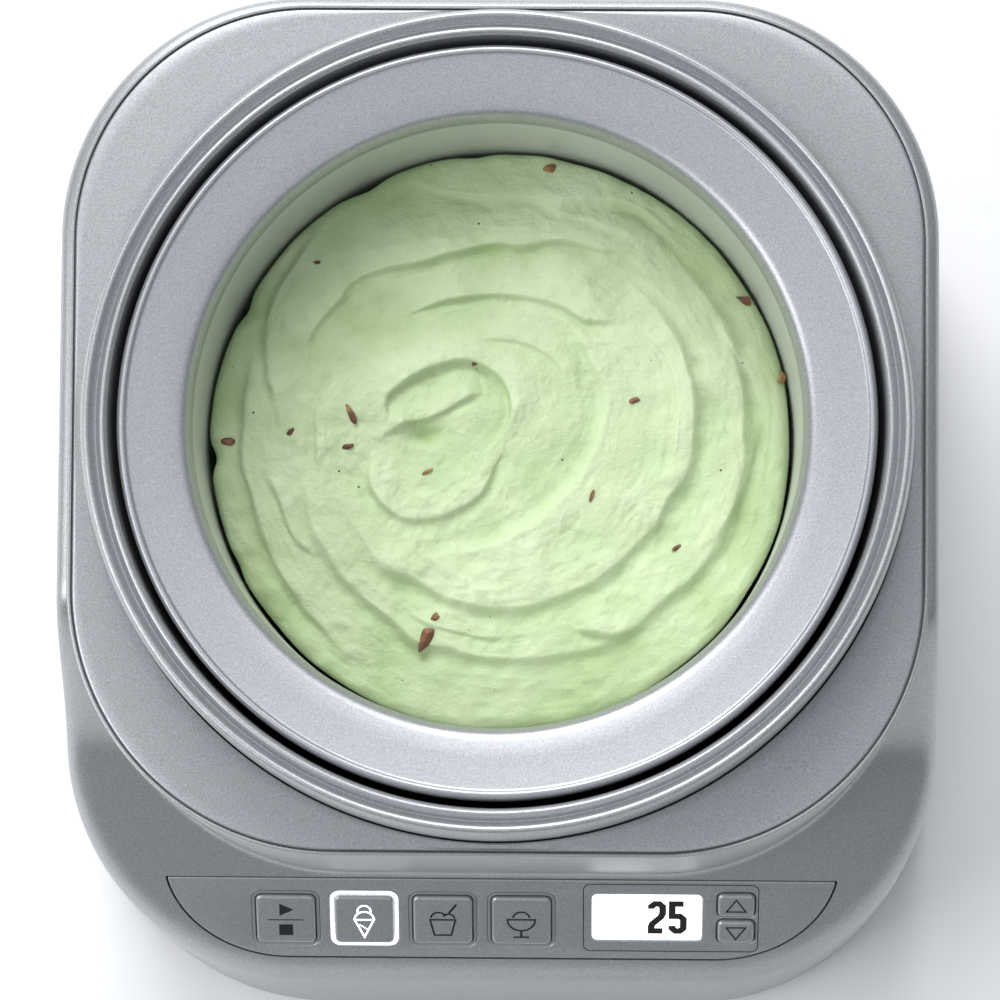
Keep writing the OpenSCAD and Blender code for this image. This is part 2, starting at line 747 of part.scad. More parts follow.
// The four long screws clamp the motor between its brackets and down to the bottom plate.
module motor_screws() {
    high = stack_z + stack_h + rotor_stand_off + bracket_t;
    color(steel) at_motor() for (s = motor_spots) translate([s[0], s[1], 0]) {
        translate([0, 0, plate_low_z]) cylinder(r = screw_r, h = high - plate_low_z);
        translate([0, 0, high]) cylinder(r = screw_head_r, h = 1.6);
    }
}

module rotor() {
    color(steel) at_motor() translate([0, 0, stack_z - 0.5]) difference() {
        cylinder(r = rotor_r, h = stack_h + 1);
        translate([0, 0, -1]) cylinder(r = rotor_shaft_r, h = stack_h + 4);
    }
}

module rotor_shaft() {
    low = plate_low_z + 0.5;
    high = stack_z + stack_h + rotor_stand_off + bracket_t + 1;
    color(steel) at_motor() translate([0, 0, low]) cylinder(r = rotor_shaft_r, h = high - low);
}

// ---- Drive to the bowl -----------------------------------------------------
hub_r = 34;
hub_t = 4;
dog_r = 4;
dog_d = 24;
dog_h = 6;
dog_gap = 0.6;
module shaft_seal() {
    color(rubber_black) translate([0, bowl_y, 0]) difference() {
        union() {
            translate([0, 0, well_floor_z - well_floor_t]) cylinder(r = hub_boss_r + 3, h = well_floor_t);
            translate([0, 0, well_floor_z - 0.1]) cylinder(r = shaft_r + 2.4, h = 1.1);
        }
        translate([0, 0, well_floor_z - 5]) cylinder(r = shaft_r + 0.1, h = 10);
    }
}

module drive_hub() {
    color(pan_grey) translate([0, bowl_y, 0]) difference() {
        union() {
            translate([0, 0, hub_top_z - hub_t]) cylinder(r = hub_r, h = hub_t);
            for (a = [0, 120, 240]) rotate(a) translate([dog_d, 0, hub_top_z - 1])
                cylinder(r = dog_r, h = dog_h + 1);
        }
        translate([0, 0, hub_top_z - hub_t - 1]) cylinder(r = shaft_r, h = hub_t);
    }
}

// ---- Control panel ---------------------------------------------------------
module control_panel() {
    color(silver) on_panel() difference() {
        union() {
            translate([0, 0, -panel_t]) linear_extrude(panel_t) panel_shape(0);
            translate([0, 0, -panel_t - panel_skirt]) linear_extrude(panel_skirt + 0.5) difference() {
                panel_shape(-0.1);
                panel_shape(-1.9);
            }
            translate([0, 0, -panel_t - panel_skirt]) linear_extrude(1.4) difference() {
                translate([panel_r - panel_w / 2, panel_low - lip_out]) square([panel_w - 2 * panel_r, lip_out + 3]);
                panel_shape(-1.9);
            }
            for (x = board_posts) translate([x, board_mid_y, board_z]) cylinder(r = 2.8, h = -board_z - panel_t);
        }
        for (x = board_posts) translate([x, board_mid_y, board_z - 1]) cylinder(r = board_screw_r, h = 8);
        translate([0, 0, -6]) {
            for (x = key_x) translate([x, key_y, 0]) linear_extrude(8) round_rect(key_hole, key_hole, 2.6);
            for (y = arrow_y) translate([arrow_x, y, 0]) linear_extrude(8)
                round_rect(arrow_w + 2 * key_gap, arrow_h + 2 * key_gap, 1.8);
            translate([window_x, window_y, 0]) linear_extrude(8) round_rect(window_w, window_h, 1.5);
        }
        // Room for the key flanges behind the face
        translate([0, 0, -panel_t - panel_skirt - 1]) linear_extrude(panel_skirt + 1)
            for (x = key_x) translate([x, key_y]) round_rect(flange_side + 0.6, flange_side + 0.6, 1.6);
    }
}

module key_light_guides() {
    inner = key_hole - 2 * guide_w;
    color("white") on_panel() for (x = key_x) translate([x, key_y, -panel_t]) linear_extrude(panel_t - 0.2)
        difference() {
            round_rect(key_hole, key_hole, 2.6);
            round_rect(inner, inner, 1.9);
        }
}

// A key is a cap that stands proud of the panel, a flange behind the panel and a stem to its switch.
switch_h = 4;
key_proud = 0.8;
flange_t = 0.7;
flange_z = -panel_t - 0.3 - flange_t;
stem_z = board_z + switch_h + key_travel + 0.1;
module key(x, y, w, h, flange_w, flange_h) {
    color(silver) on_panel() translate([x, y, 0]) {
        translate([0, 0, flange_z + 0.2]) linear_extrude(key_proud - flange_z - 0.2) round_rect(w, h, 1.6);
        translate([0, 0, flange_z]) linear_extrude(flange_t) round_rect(flange_w, flange_h, 1.4);
        translate([0, 0, stem_z]) cylinder(r = 1.6, h = flange_z - stem_z + 0.2);
    }
}
flange_side = key_hole + 1.4;
module square_key(i) {
    key(key_x[i], key_y, key_side, key_side, flange_side, flange_side);
}
module arrow_key(i) {
    key(arrow_x, arrow_y[i], arrow_w, arrow_h, arrow_w + 2, arrow_h);
}
module start_stop_key() { square_key(0); }
module ice_cream_key() { square_key(1); }
module gelato_key() { square_key(2); }
module sorbet_key() { square_key(3); }
module time_up_key() { arrow_key(0); }
module time_down_key() { arrow_key(1); }

module display_window() {
    color("white", 0.5) on_panel() translate([window_x, window_y, -panel_t]) linear_extrude(panel_t - 0.3)
        round_rect(window_w, window_h, 1.5);
}

module lcd_module() {
    color("white") on_panel() translate([window_x, window_y, -panel_t - 2]) linear_extrude(2)
        square([window_w + 4, window_h + 4], center = true);
}

module backlight() {
    color("white") on_panel() translate([window_x, window_y, board_z]) linear_extrude(-board_z - panel_t - 2)
        square([window_w + 4, window_h + 3], center = true);
}

module control_board() {
    color(board_green) on_panel() translate([0, board_mid_y, board_z - board_t]) linear_extrude(board_t)
        difference() {
            square([board_w, board_h], center = true);
            for (x = board_posts) translate([x, 0]) circle(r = board_screw_r);
        }
}

module board_screws() {
    color(steel) on_panel() for (x = board_posts) translate([x, board_mid_y, board_z - board_t]) {
        translate([0, 0, -1.4]) cylinder(r = 2.3, h = 1.4);
        cylinder(r = board_screw_r, h = 7);
    }
}

switch_spots = concat([for (x = key_x) [x, key_y]], [for (y = arrow_y) [arrow_x, y]]);
module key_switches() {
    color(pan_grey) on_panel() for (s = switch_spots) translate([s[0], s[1], board_z]) {
        linear_extrude(switch_h - 0.6) square([6, 6], center = true);
        cylinder(r = 1.7, h = switch_h);
    }
}

// Chips, a sounder and the socket of the harness, all on the underside of the board.
socket_x = -52;
socket_h = 4;
module board_chips() {
    color(rubber_black) on_panel() {
        translate([-4, board_mid_y, board_z - board_t - 2.2]) linear_extrude(2.2) square([12, 12], center = true);
        translate([-26, board_mid_y - 2, board_z - board_t - 1.8]) linear_extrude(1.8) square([6, 5], center = true);
        translate([20, board_mid_y - 2, board_z - board_t - 4]) cylinder(r = 5, h = 4);
        translate([socket_x, board_mid_y, board_z - board_t - socket_h]) linear_extrude(socket_h)
            square([10, 6], center = true);
    }
}

// ---- Power board -----------------------------------------------------------
power_x = 50;
power_y = 82;
power_w = 64;
power_d = 46;
power_z = pan_top_z + 4;
part_z = power_z + board_t;
module power_board() {
    color(board_green) {
        translate([power_x - power_w / 2, power_y - power_d / 2, power_z]) cube([power_w, power_d, board_t]);
        for (x = [-1, 1]) for (y = [-1, 1])
            translate([power_x + x * (power_w / 2 - 4), power_y + y * (power_d / 2 - 4), pan_top_z])
                cylinder(r = 2.5, h = power_z - pan_top_z);
    }
}
module transformer() {
    color(pan_grey) translate([power_x - 28, power_y - 18, part_z]) {
        translate([0, 7, 0]) cube([30, 14, 24]);
        translate([4, 0, 3]) cube([22, 28, 18]);
    }
}
module capacitors() {
    color([0.1, 0.12, 0.3]) {
        translate([power_x + 12, power_y - 14, part_z]) cylinder(r = 5, h = 17);
        translate([power_x + 23, power_y - 15, part_z]) cylinder(r = 4, h = 12);
        translate([power_x + 6, power_y - 4, part_z]) cube([18, 8, 13]);
    }
}
relay_x = power_x + 8;
relay_y = power_y + 6;
relay_w = 19;
module relay() {
    color([0.15, 0.3, 0.6]) translate([relay_x, relay_y, part_z]) cube([relay_w, 14, 15]);
}
block_x = power_x - 22;
block_y = power_y + 13;
module terminal_block() {
    color([0.15, 0.45, 0.25]) translate([block_x, block_y, part_z]) cube([22, 8, 12]);
}

// A lead is one tube swept along its route, whose corners are cut twice to round them.
lead_sides = 8;
function cut_corners(p) = concat(
    [p[0]],
    [for (i = [0:len(p) - 2]) each [p[i] * 0.75 + p[i + 1] * 0.25, p[i] * 0.25 + p[i + 1] * 0.75]],
    [p[len(p) - 1]]);
// The side direction is square to the route and to a line that no lead runs along.
lead_guide = [0.5, 0.6, 0.62];
module lead(route, r) {
    p = cut_corners(cut_corners(route));
    n = len(p);
    rings = [for (i = [0:n - 1])
        let (
            run = p[min(i + 1, n - 1)] - p[max(i - 1, 0)],
            side = cross(run, lead_guide),
            u = side / norm(side),
            up = cross(run, u),
            v = up / norm(up))
        each [for (a = [0:lead_sides - 1]) let (t = 360 * a / lead_sides) p[i] + r * (cos(t) * u + sin(t) * v)]];
    function at(i, a) = i * lead_sides + a % lead_sides;
    polyhedron(
        points = rings,
        faces = concat(
            [[for (a = [0:lead_sides - 1]) at(0, lead_sides - 1 - a)]],
            [for (i = [0:n - 2]) for (a = [0:lead_sides - 1])
                each [[at(i, a), at(i, a + 1), at(i + 1, a + 1)], [at(i, a), at(i + 1, a + 1), at(i + 1, a)]]],
            [[for (a = [0:lead_sides - 1]) at(n - 1, a)]]));
}

// The harness runs from the control board down the left side and back to the power board.
module board_harness() {
    side_x = body_w / 2 - 20;
    socket_z = board_z - board_t - socket_h;
    block_z = part_z + 5;
    color(rubber_black) lead([
        panel_point(socket_x, board_mid_y, socket_z),
        panel_point(socket_x, board_mid_y, socket_z - 8),
        [-60, deck_front_y + 20, 60],
        [-80, bowl_y - 95, 20],
        [-side_x, -60, 12],
        [-side_x, 60, 12],
        [-60, body_d / 2 - 18, 12],
        [0, body_d / 2 - 18, 12],
        [block_x - 9, block_y + 4, block_z],
        [block_x, block_y + 4, block_z]], 1.5);
}

// The motor's leads run from the coil along the right side to the relay on the power board.
module motor_leads() {
    side_x = body_w / 2 - 16;
    coil_x = motor_x + core_back + coil_reach;
    relay_end = relay_x + relay_w;
    color("firebrick") lead([
        [coil_x, motor_y + 8, stack_z + 5],
        [coil_x + 5, motor_y + 8, stack_z + 5],
        [side_x, motor_y + 26, 14],
        [side_x, 30, 12],
        [side_x, power_y - 14, 12],
        [relay_end + 9, relay_y + 7, part_z + 5],
        [relay_end, relay_y + 7, part_z + 5]], 1.3);
}

// ---- Freezer bowl ----------------------------------------------------------
bowl_top = body_h - bowl_drop;
bowl_z = bowl_top - bowl_h;
cup_z = bowl_top - cup_depth;
shell_t = 2.5;
side_r = bowl_r - 2;
foot_r = side_r - 2;
base_t = 3;
liner_t = 1.3;
liner_top = bowl_top - 10;
cup_low_r = mouth_r - 4;
module bowl_shell() {
    color(silver) translate([0, bowl_y, 0]) rotate_extrude($fn = 180) polygon([
        [foot_r - 4, bowl_z],
        [foot_r - 1, bowl_z + 0.6],
        [foot_r, bowl_z + 3],
        [side_r, bowl_top - 12],
        [bowl_r, bowl_top - 8],
        [bowl_r, bowl_top - 1.2],
        [bowl_r - 0.6, bowl_top - 0.3],
        [bowl_r - 1.3, bowl_top],
        [bowl_r - 2, bowl_top - 0.4],
        [mouth_r + 4, bowl_top - 2.6],
        [mouth_r + 2, bowl_top - 3.6],
        [mouth_r + 0.6, bowl_top - 5.6],
        [mouth_r + 0.2, bowl_top - 8],
        [mouth_r + 0.2, liner_top + 0.1],
        [mouth_r + 2.6, liner_top + 0.1],
        [mouth_r + 3, bowl_top - 6.6],
        [side_r - shell_t, bowl_top - 4.6],
        [side_r - shell_t, bowl_top - 12],
        [foot_r - shell_t, bowl_z + base_t + 0.2],
        [foot_r - 4, bowl_z + base_t + 0.2]]);
}

module bowl_liner() {
    color([0.8, 0.81, 0.82]) translate([0, bowl_y, 0]) rotate_extrude($fn = 180) polygon([
        [0, cup_z - liner_t],
        [cup_low_r - 7, cup_z - liner_t],
        [cup_low_r + liner_t - 1.5, cup_z + 1.5],
        [cup_low_r + liner_t, cup_z + 8],
        [mouth_r + liner_t + 0.2, liner_top],
        [mouth_r + 0.2, liner_top],
        [cup_low_r, cup_z + 8],
        [cup_low_r - 2, cup_z + 3],
        [cup_low_r - 7, cup_z],
        [0, cup_z]]);
}

module cooling_gel() {
    low = bowl_z + base_t + 6;
    color([0.55, 0.75, 0.9]) translate([0, bowl_y, 0]) rotate_extrude($fn = 96) polygon([
        [0, low],
        [foot_r - shell_t - 0.6, low],
        [side_r - shell_t - 0.6, bowl_top - 14],
        [mouth_r + liner_t + 1, bowl_top - 14],
        [cup_low_r + liner_t + 0.8, cup_z + 8],
        [cup_low_r + liner_t - 0.5, cup_z + 1],
        [cup_low_r - 6, cup_z - liner_t - 0.3],
        [0, cup_z - liner_t - 0.3]]);
}

module bowl_base() {
    pocket_r = dog_r + dog_gap;
    color(pan_grey) translate([0, bowl_y, bowl_z]) difference() {
        union() {
            cylinder(r = foot_r - 4.1, h = base_t);
            for (a = [0, 120, 240]) rotate(a) translate([dog_d, 0, 0]) cylinder(r = pocket_r + 1.4, h = dog_h + 2);
        }
        for (a = [0, 120, 240]) rotate(a) translate([dog_d, 0, -1]) cylinder(r = pocket_r, h = dog_h + 1.8);
    }
}

module ice_cream() {
    top = cup_z + fill_h;
    slope = (mouth_r - cup_low_r) / (liner_top - cup_z - 8);
    edge = cup_low_r + slope * (fill_h - 12) - 0.6;
    color([0.76, 0.86, 0.62]) translate([0, bowl_y, 0]) rotate_extrude($fn = 72) polygon([
        [0, cup_z + 0.4],
        [cup_low_r - 8, cup_z + 0.4],
        [cup_low_r - 3, cup_z + 3.4],
        [cup_low_r - 0.6, cup_z + 9],
        [edge, top - 4],
        [edge - 2, top - 1],
        [54, top + 1.5],
        [40, top],
        [28, top + 3],
        [18, top + 1.5],
        [8, top + 5],
        [0, top + 4]]);
}

outer_housing();
top_cover();
bowl_well();
base_pan();
rubber_feet();
base_screws();
cord_grommet();
shaft_seal();
gearbox_top_plate();
gearbox_bottom_plate();
gearbox_screws();
gear_pins();
output_bushes();
output_shaft();
drive_hub();
output_gear();
middle_gear();
first_gear();
stator_core();
coil_bobbin();
motor_coil();
motor_brackets();
motor_bearings();
motor_screws();
rotor();
rotor_shaft();
motor_pinion();
control_panel();
key_light_guides();
start_stop_key();
ice_cream_key();
gelato_key();
sorbet_key();
time_up_key();
time_down_key();
display_window();
lcd_module();
backlight();
control_board();
board_screws();
key_switches();
board_chips();
power_board();
transformer();
capacitors();
relay();
terminal_block();
board_harness();
motor_leads();
bowl_shell();
bowl_liner();
cooling_gel();
bowl_base();
ice_cream();
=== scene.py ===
import json
import math

import bpy
import numpy as np
from mathutils import Matrix, Vector


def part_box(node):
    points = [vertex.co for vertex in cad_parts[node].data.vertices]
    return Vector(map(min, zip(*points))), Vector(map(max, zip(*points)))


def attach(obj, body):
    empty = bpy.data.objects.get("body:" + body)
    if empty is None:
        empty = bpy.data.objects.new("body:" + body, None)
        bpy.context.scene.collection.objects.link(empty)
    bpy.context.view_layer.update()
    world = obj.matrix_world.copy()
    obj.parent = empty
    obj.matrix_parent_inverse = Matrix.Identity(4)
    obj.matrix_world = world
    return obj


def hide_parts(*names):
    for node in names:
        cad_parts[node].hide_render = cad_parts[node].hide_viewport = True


bl_info = {
    "name": "Ice Cream Maker",
    "version": (1, 0, 0),
    "blender": (4, 5, 0),
    "location": "View3D > Sidebar > Ice Cream Maker",
    "description": "Finished pieces for an electronic ice cream maker, built round its mechanical frame",
    "category": "Object",
}

# ---------------------------------------------------------------------------
# The frame, and the places that come from it
# ---------------------------------------------------------------------------

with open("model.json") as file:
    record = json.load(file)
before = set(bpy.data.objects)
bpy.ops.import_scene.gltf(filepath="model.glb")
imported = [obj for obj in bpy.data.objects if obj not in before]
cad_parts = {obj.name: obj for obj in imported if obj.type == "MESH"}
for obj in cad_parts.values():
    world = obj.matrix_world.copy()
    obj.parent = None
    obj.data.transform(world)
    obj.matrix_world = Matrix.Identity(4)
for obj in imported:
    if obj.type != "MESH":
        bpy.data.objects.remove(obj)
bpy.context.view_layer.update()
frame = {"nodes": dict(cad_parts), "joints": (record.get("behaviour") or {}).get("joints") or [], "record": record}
MM = 0.001


def middle(node):
    """The middle of a node's box."""
    low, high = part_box(node)
    return (low + high) / 2


def joint(name):
    """A joint of the record, by name."""
    return next(j for j in frame["joints"] if j["name"] == name)


HOUSING_LOW, HOUSING_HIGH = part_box("outer_housing")
WELL_LOW, WELL_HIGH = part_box("bowl_well")
SHELL_LOW, SHELL_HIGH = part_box("bowl_shell")
LINER_LOW, LINER_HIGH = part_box("bowl_liner")
BOWL_Y = middle("bowl_shell").y
COLLAR_R = (WELL_HIGH.x - WELL_LOW.x) / 2
BOWL_R = (SHELL_HIGH.x - SHELL_LOW.x) / 2
TOP_Z = WELL_HIGH.z

# The panel lies square to the way its keys move.
PRESS = Vector(joint("start_stop_press")["axis"])
PANEL_OUT = -PRESS
PANEL_UP = Vector((0, -PRESS.z, PRESS.y))
SLOPE = math.atan2(PRESS.y, -PRESS.z)
WINDOW = middle("display_window")
WINDOW_DEPTH = 1.15 * MM  # from the panel's face down to the middle of the window's thickness
PANEL_ORIGIN = WINDOW + PANEL_OUT * WINDOW_DEPTH

# Sizes that several pieces share, in millimetres.
WALL = 2.5          # thickness of the housing's walls
SKIN = 2.3          # thickness of its deck
TOWER_SKIN = 2.0    # thickness of its tower
LEDGE = 2.3         # how deep the ledge for the top cover lies
KEY_PROUD = 0.8     # how far a key stands out of the panel's face
KEY_CAP = (15.4, 15.4)
KEY_HOLE = (17.6, 17.6, 2.6)    # width, height and corner radius
SMALL_CAP = (9.6, 7.4)
SMALL_HOLE = (10.2, 8.0, 1.9)
INK = 0.03          # how thick printed lines and figures stand on their face


def panel_matrix():
    """Panel axes: x across, y up the slope, z out of the face; the origin is level with the window's middle."""
    m = Matrix((Vector((1, 0, 0)), PANEL_UP, PANEL_OUT)).transposed().to_4x4()
    m.translation = Vector((0, PANEL_ORIGIN.y, PANEL_ORIGIN.z))
    return m


def key_place(node):
    """Where a key's middle lies on the panel, across and up the slope, in millimetres. It comes from the key's box,
    whose top and front are edges of its cap, and the cap stands proud of the face."""
    low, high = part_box(node)
    s, c = math.sin(SLOPE), math.cos(SLOPE)
    proud = KEY_PROUD * MM
    upper = (high.z - PANEL_ORIGIN.z - proud * c) / s
    lower = (low.y - PANEL_ORIGIN.y + proud * s) / c
    return middle(node).x / MM, (upper + lower) / 2 / MM


def mount_matrix(name):
    """The place of a mount, with z along its axis."""
    mount = next(m for m in frame["record"]["mounts"] if m["name"] == name)
    turn = Vector(mount["axis"]).to_track_quat("Z", "Y").to_matrix().to_4x4()
    return Matrix.Translation(Vector(mount["pos_m"])) @ turn


# ---------------------------------------------------------------------------
# Colours, nodes and materials
# ---------------------------------------------------------------------------


def linear(hex_colour):
    """sRGB hex to linear RGBA."""
    value = hex_colour.lstrip("#")
    parts = [int(value[i:i + 2], 16) / 255 for i in (0, 2, 4)]
    return tuple(p / 12.92 if p <= 0.04045 else ((p + 0.055) / 1.055) ** 2.4 for p in parts) + (1.0,)


def add_node(tree, kind, inputs=None, to=None, **settings):
    """Adds one shader node. settings are node attributes, or input values by name with _ for a space. inputs maps an
    input to a (node, output) pair it is linked from, or to its value. to is the (output, node, input) it links to."""
    node = tree.nodes.new(kind)
    for key, value in settings.items():
        if hasattr(node, key):
            setattr(node, key, value)
        else:
            node.inputs[key.replace("_", " ")].default_value = value
    for key, value in (inputs or {}).items():
        if isinstance(value, tuple) and isinstance(value[0], bpy.types.Node):
            tree.links.new(value[0].outputs[value[1]], node.inputs[key])
        else:
            node.inputs[key].default_value = value
    if to:
        output, target, socket = to
        tree.links.new(node.outputs[output], target.inputs[socket])
    return node


def new_material(name):
    """An empty material with its Principled shader, and its node tree."""
    material = bpy.data.materials.new(name)
    material.use_nodes = True
    tree = material.node_tree
    return material, tree, tree.nodes["Principled BSDF"]


def set_inputs(shader, **values):
    """Sets a shader's own sockets by name, with _ for a space."""
    for key, value in values.items():
        shader.inputs[key.replace("_", " ")].default_value = value


def two_tone(tree, shader, pattern, colour, other, bump, share=None, strength=1.0):
    """Colours a shader between two tones by a pattern, or by its share of it, and lifts its surface by the pattern, in
    millimetres. pattern and share are (node, output) pairs."""
    add_node(tree, "ShaderNodeMix", {"Factor": share or pattern, 6: linear(colour), 7: linear(other)},
             (2, shader, "Base Color"), data_type="RGBA")
    add_node(tree, "ShaderNodeBump", {"Height": pattern}, ("Normal", shader, "Normal"), Strength=strength,
             Distance=bump * MM)


def grained(name, colour, other, size_mm, bump, **values):
    """A material whose colour varies in grains of size_mm, with a bump of the same grain, in millimetres."""
    material, tree, shader = new_material(name)
    set_inputs(shader, **values)
    place = add_node(tree, "ShaderNodeTexCoord")
    noise = add_node(tree, "ShaderNodeTexNoise", {"Vector": (place, "Object")},
                     Scale=1 / (size_mm * MM), Detail=2.0, Roughness=0.6)
    two_tone(tree, shader, (noise, "Fac"), colour, other, bump)
    return material


def silver_paint(name, dark, light, grain, roughness, metallic, flake_mm, sparkle):
    """Metallic paint: aluminium flakes in a clear binder. Single flakes are finer than the eye can part, so they
    are drawn flake_mm across; each catches the light a little differently, in tone and in tilt."""
    material, tree, shader = new_material(name)
    set_inputs(shader, Metallic=metallic, Roughness=roughness, Coat_Weight=0.0)
    place = add_node(tree, "ShaderNodeTexCoord")
    flakes = add_node(tree, "ShaderNodeTexNoise", {"Vector": (place, "Object")},
                      Scale=1 / (flake_mm * MM), Detail=3.0, Roughness=0.75)
    tone = add_node(tree, "ShaderNodeMapRange", {"Value": (flakes, "Fac")}, From_Min=0.5 - grain,
                    From_Max=0.5 + grain)
    two_tone(tree, shader, (flakes, "Fac"), dark, light, sparkle, (tone, "Result"))
    return material


def ice_cream_finish(name, light, deep, speck):
    """Churned pistachio ice cream: dense, moist and slightly translucent, with a fine airy grain and tiny dark flecks
    of nut
    skin. The deeper green is painted shade: it gathers in the low hollows, broken up in random clouds."""
    material, tree, shader = new_material(name)
    set_inputs(shader, Roughness=0.46, Subsurface_Weight=0.2, Subsurface_Scale=0.0012,
               Subsurface_Radius=(1.0, 1.0, 0.6), Coat_Weight=0.12, Coat_Roughness=0.3)
    place = add_node(tree, "ShaderNodeTexCoord")
    # Painted shade: the hollow attribute is high where the surface lies low, and there it mixes in the deep green, in
    # random clouds.
    depth = add_node(tree, "ShaderNodeAttribute", attribute_name="hollow")
    cloud = add_node(tree, "ShaderNodeTexNoise", {"Vector": (place, "Object")}, Scale=1 / (16 * MM), Detail=3.0)
    both = add_node(tree, "ShaderNodeMath", {0: (depth, "Fac"), 1: (cloud, "Fac")}, operation="MULTIPLY")
    tone = add_node(tree, "ShaderNodeMapRange", {"Value": (both, "Value")}, From_Min=0.05, From_Max=0.5)
    base = add_node(tree, "ShaderNodeMix", {"Factor": (tone, "Result"), 6: linear(light), 7: linear(deep)},
                    data_type="RGBA")
    # One fleck at most in each 5.5 mm cell, and only in the cells whose random red is high.
    cells = add_node(tree, "ShaderNodeTexVoronoi", {"Vector": (place, "Object")}, Scale=1 / (5.5 * MM))
    rare = add_node(tree, "ShaderNodeSeparateColor", {"Color": (cells, "Color")})
    fleck = add_node(tree, "ShaderNodeMapRange", {"Value": (cells, "Distance")}, From_Min=0.062, From_Max=0.045)
    chosen = add_node(tree, "ShaderNodeMath", {0: (rare, "Red"), 1: 0.62}, operation="GREATER_THAN")
    dark = add_node(tree, "ShaderNodeMath", {0: (fleck, "Result"), 1: (chosen, "Value")}, operation="MULTIPLY")
    add_node(tree, "ShaderNodeMix", {"Factor": (dark, "Value"), 6: (base, 2), 7: linear(speck)},
             (2, shader, "Base Color"), data_type="RGBA")
    grain = add_node(tree, "ShaderNodeTexNoise", {"Vector": (place, "Object")}, Scale=1 / (1.3 * MM), Detail=5.0,
                     Roughness=0.72)
    add_node(tree, "ShaderNodeBump", {"Height": (grain, "Fac")}, ("Normal", shader, "Normal"), Strength=1.0,
             Distance=0.55 * MM)
    return material


def spun_metal(name, colour, other, roughness, line_mm, bump, metallic):
    """Turned metal: fine rings round the bowl's axis, from the tool that formed it."""
    material, tree, shader = new_material(name)
    set_inputs(shader, Metallic=metallic, Roughness=roughness)
    place = add_node(tree, "ShaderNodeTexCoord")
    shift = add_node(tree, "ShaderNodeMapping", {"Vector": (place, "Object")}, Location=(0, -BOWL_Y, 0))
    parts = add_node(tree, "ShaderNodeSeparateXYZ", {"Vector": (shift, "Vector")})
    flat = add_node(tree, "ShaderNodeCombineXYZ", {"X": (parts, "X"), "Y": (parts, "Y")})
    radius = add_node(tree, "ShaderNodeVectorMath", {0: (flat, "Vector")}, operation="LENGTH")
    lines = add_node(tree, "ShaderNodeCombineXYZ", {"X": (radius, "Value"), "Z": (parts, "Z")})
    noise = add_node(tree, "ShaderNodeTexNoise", {"Vector": (lines, "Vector")}, Scale=1 / (line_mm * MM), Detail=2.0)
    two_tone(tree, shader, (noise, "Fac"), colour, other, bump, strength=0.5)
    return material


def glowing(name, tone, strength):
    """Clear acrylic lit from behind: it glows evenly, and its moulded face is not quite flat."""
    material, tree, shader = new_material(name)
    set_inputs(shader, Base_Color=linear(tone), Roughness=0.25, Emission_Color=linear(tone),
               Emission_Strength=strength)
    place = add_node(tree, "ShaderNodeTexCoord")
    noise = add_node(tree, "ShaderNodeTexNoise", {"Vector": (place, "Object")}, Scale=1 / (9 * MM), Detail=1.0)
    add_node(tree, "ShaderNodeBump", {"Height": (noise, "Fac")}, ("Normal", shader, "Normal"), Strength=0.1,
             Distance=0.01 * MM)
    return material


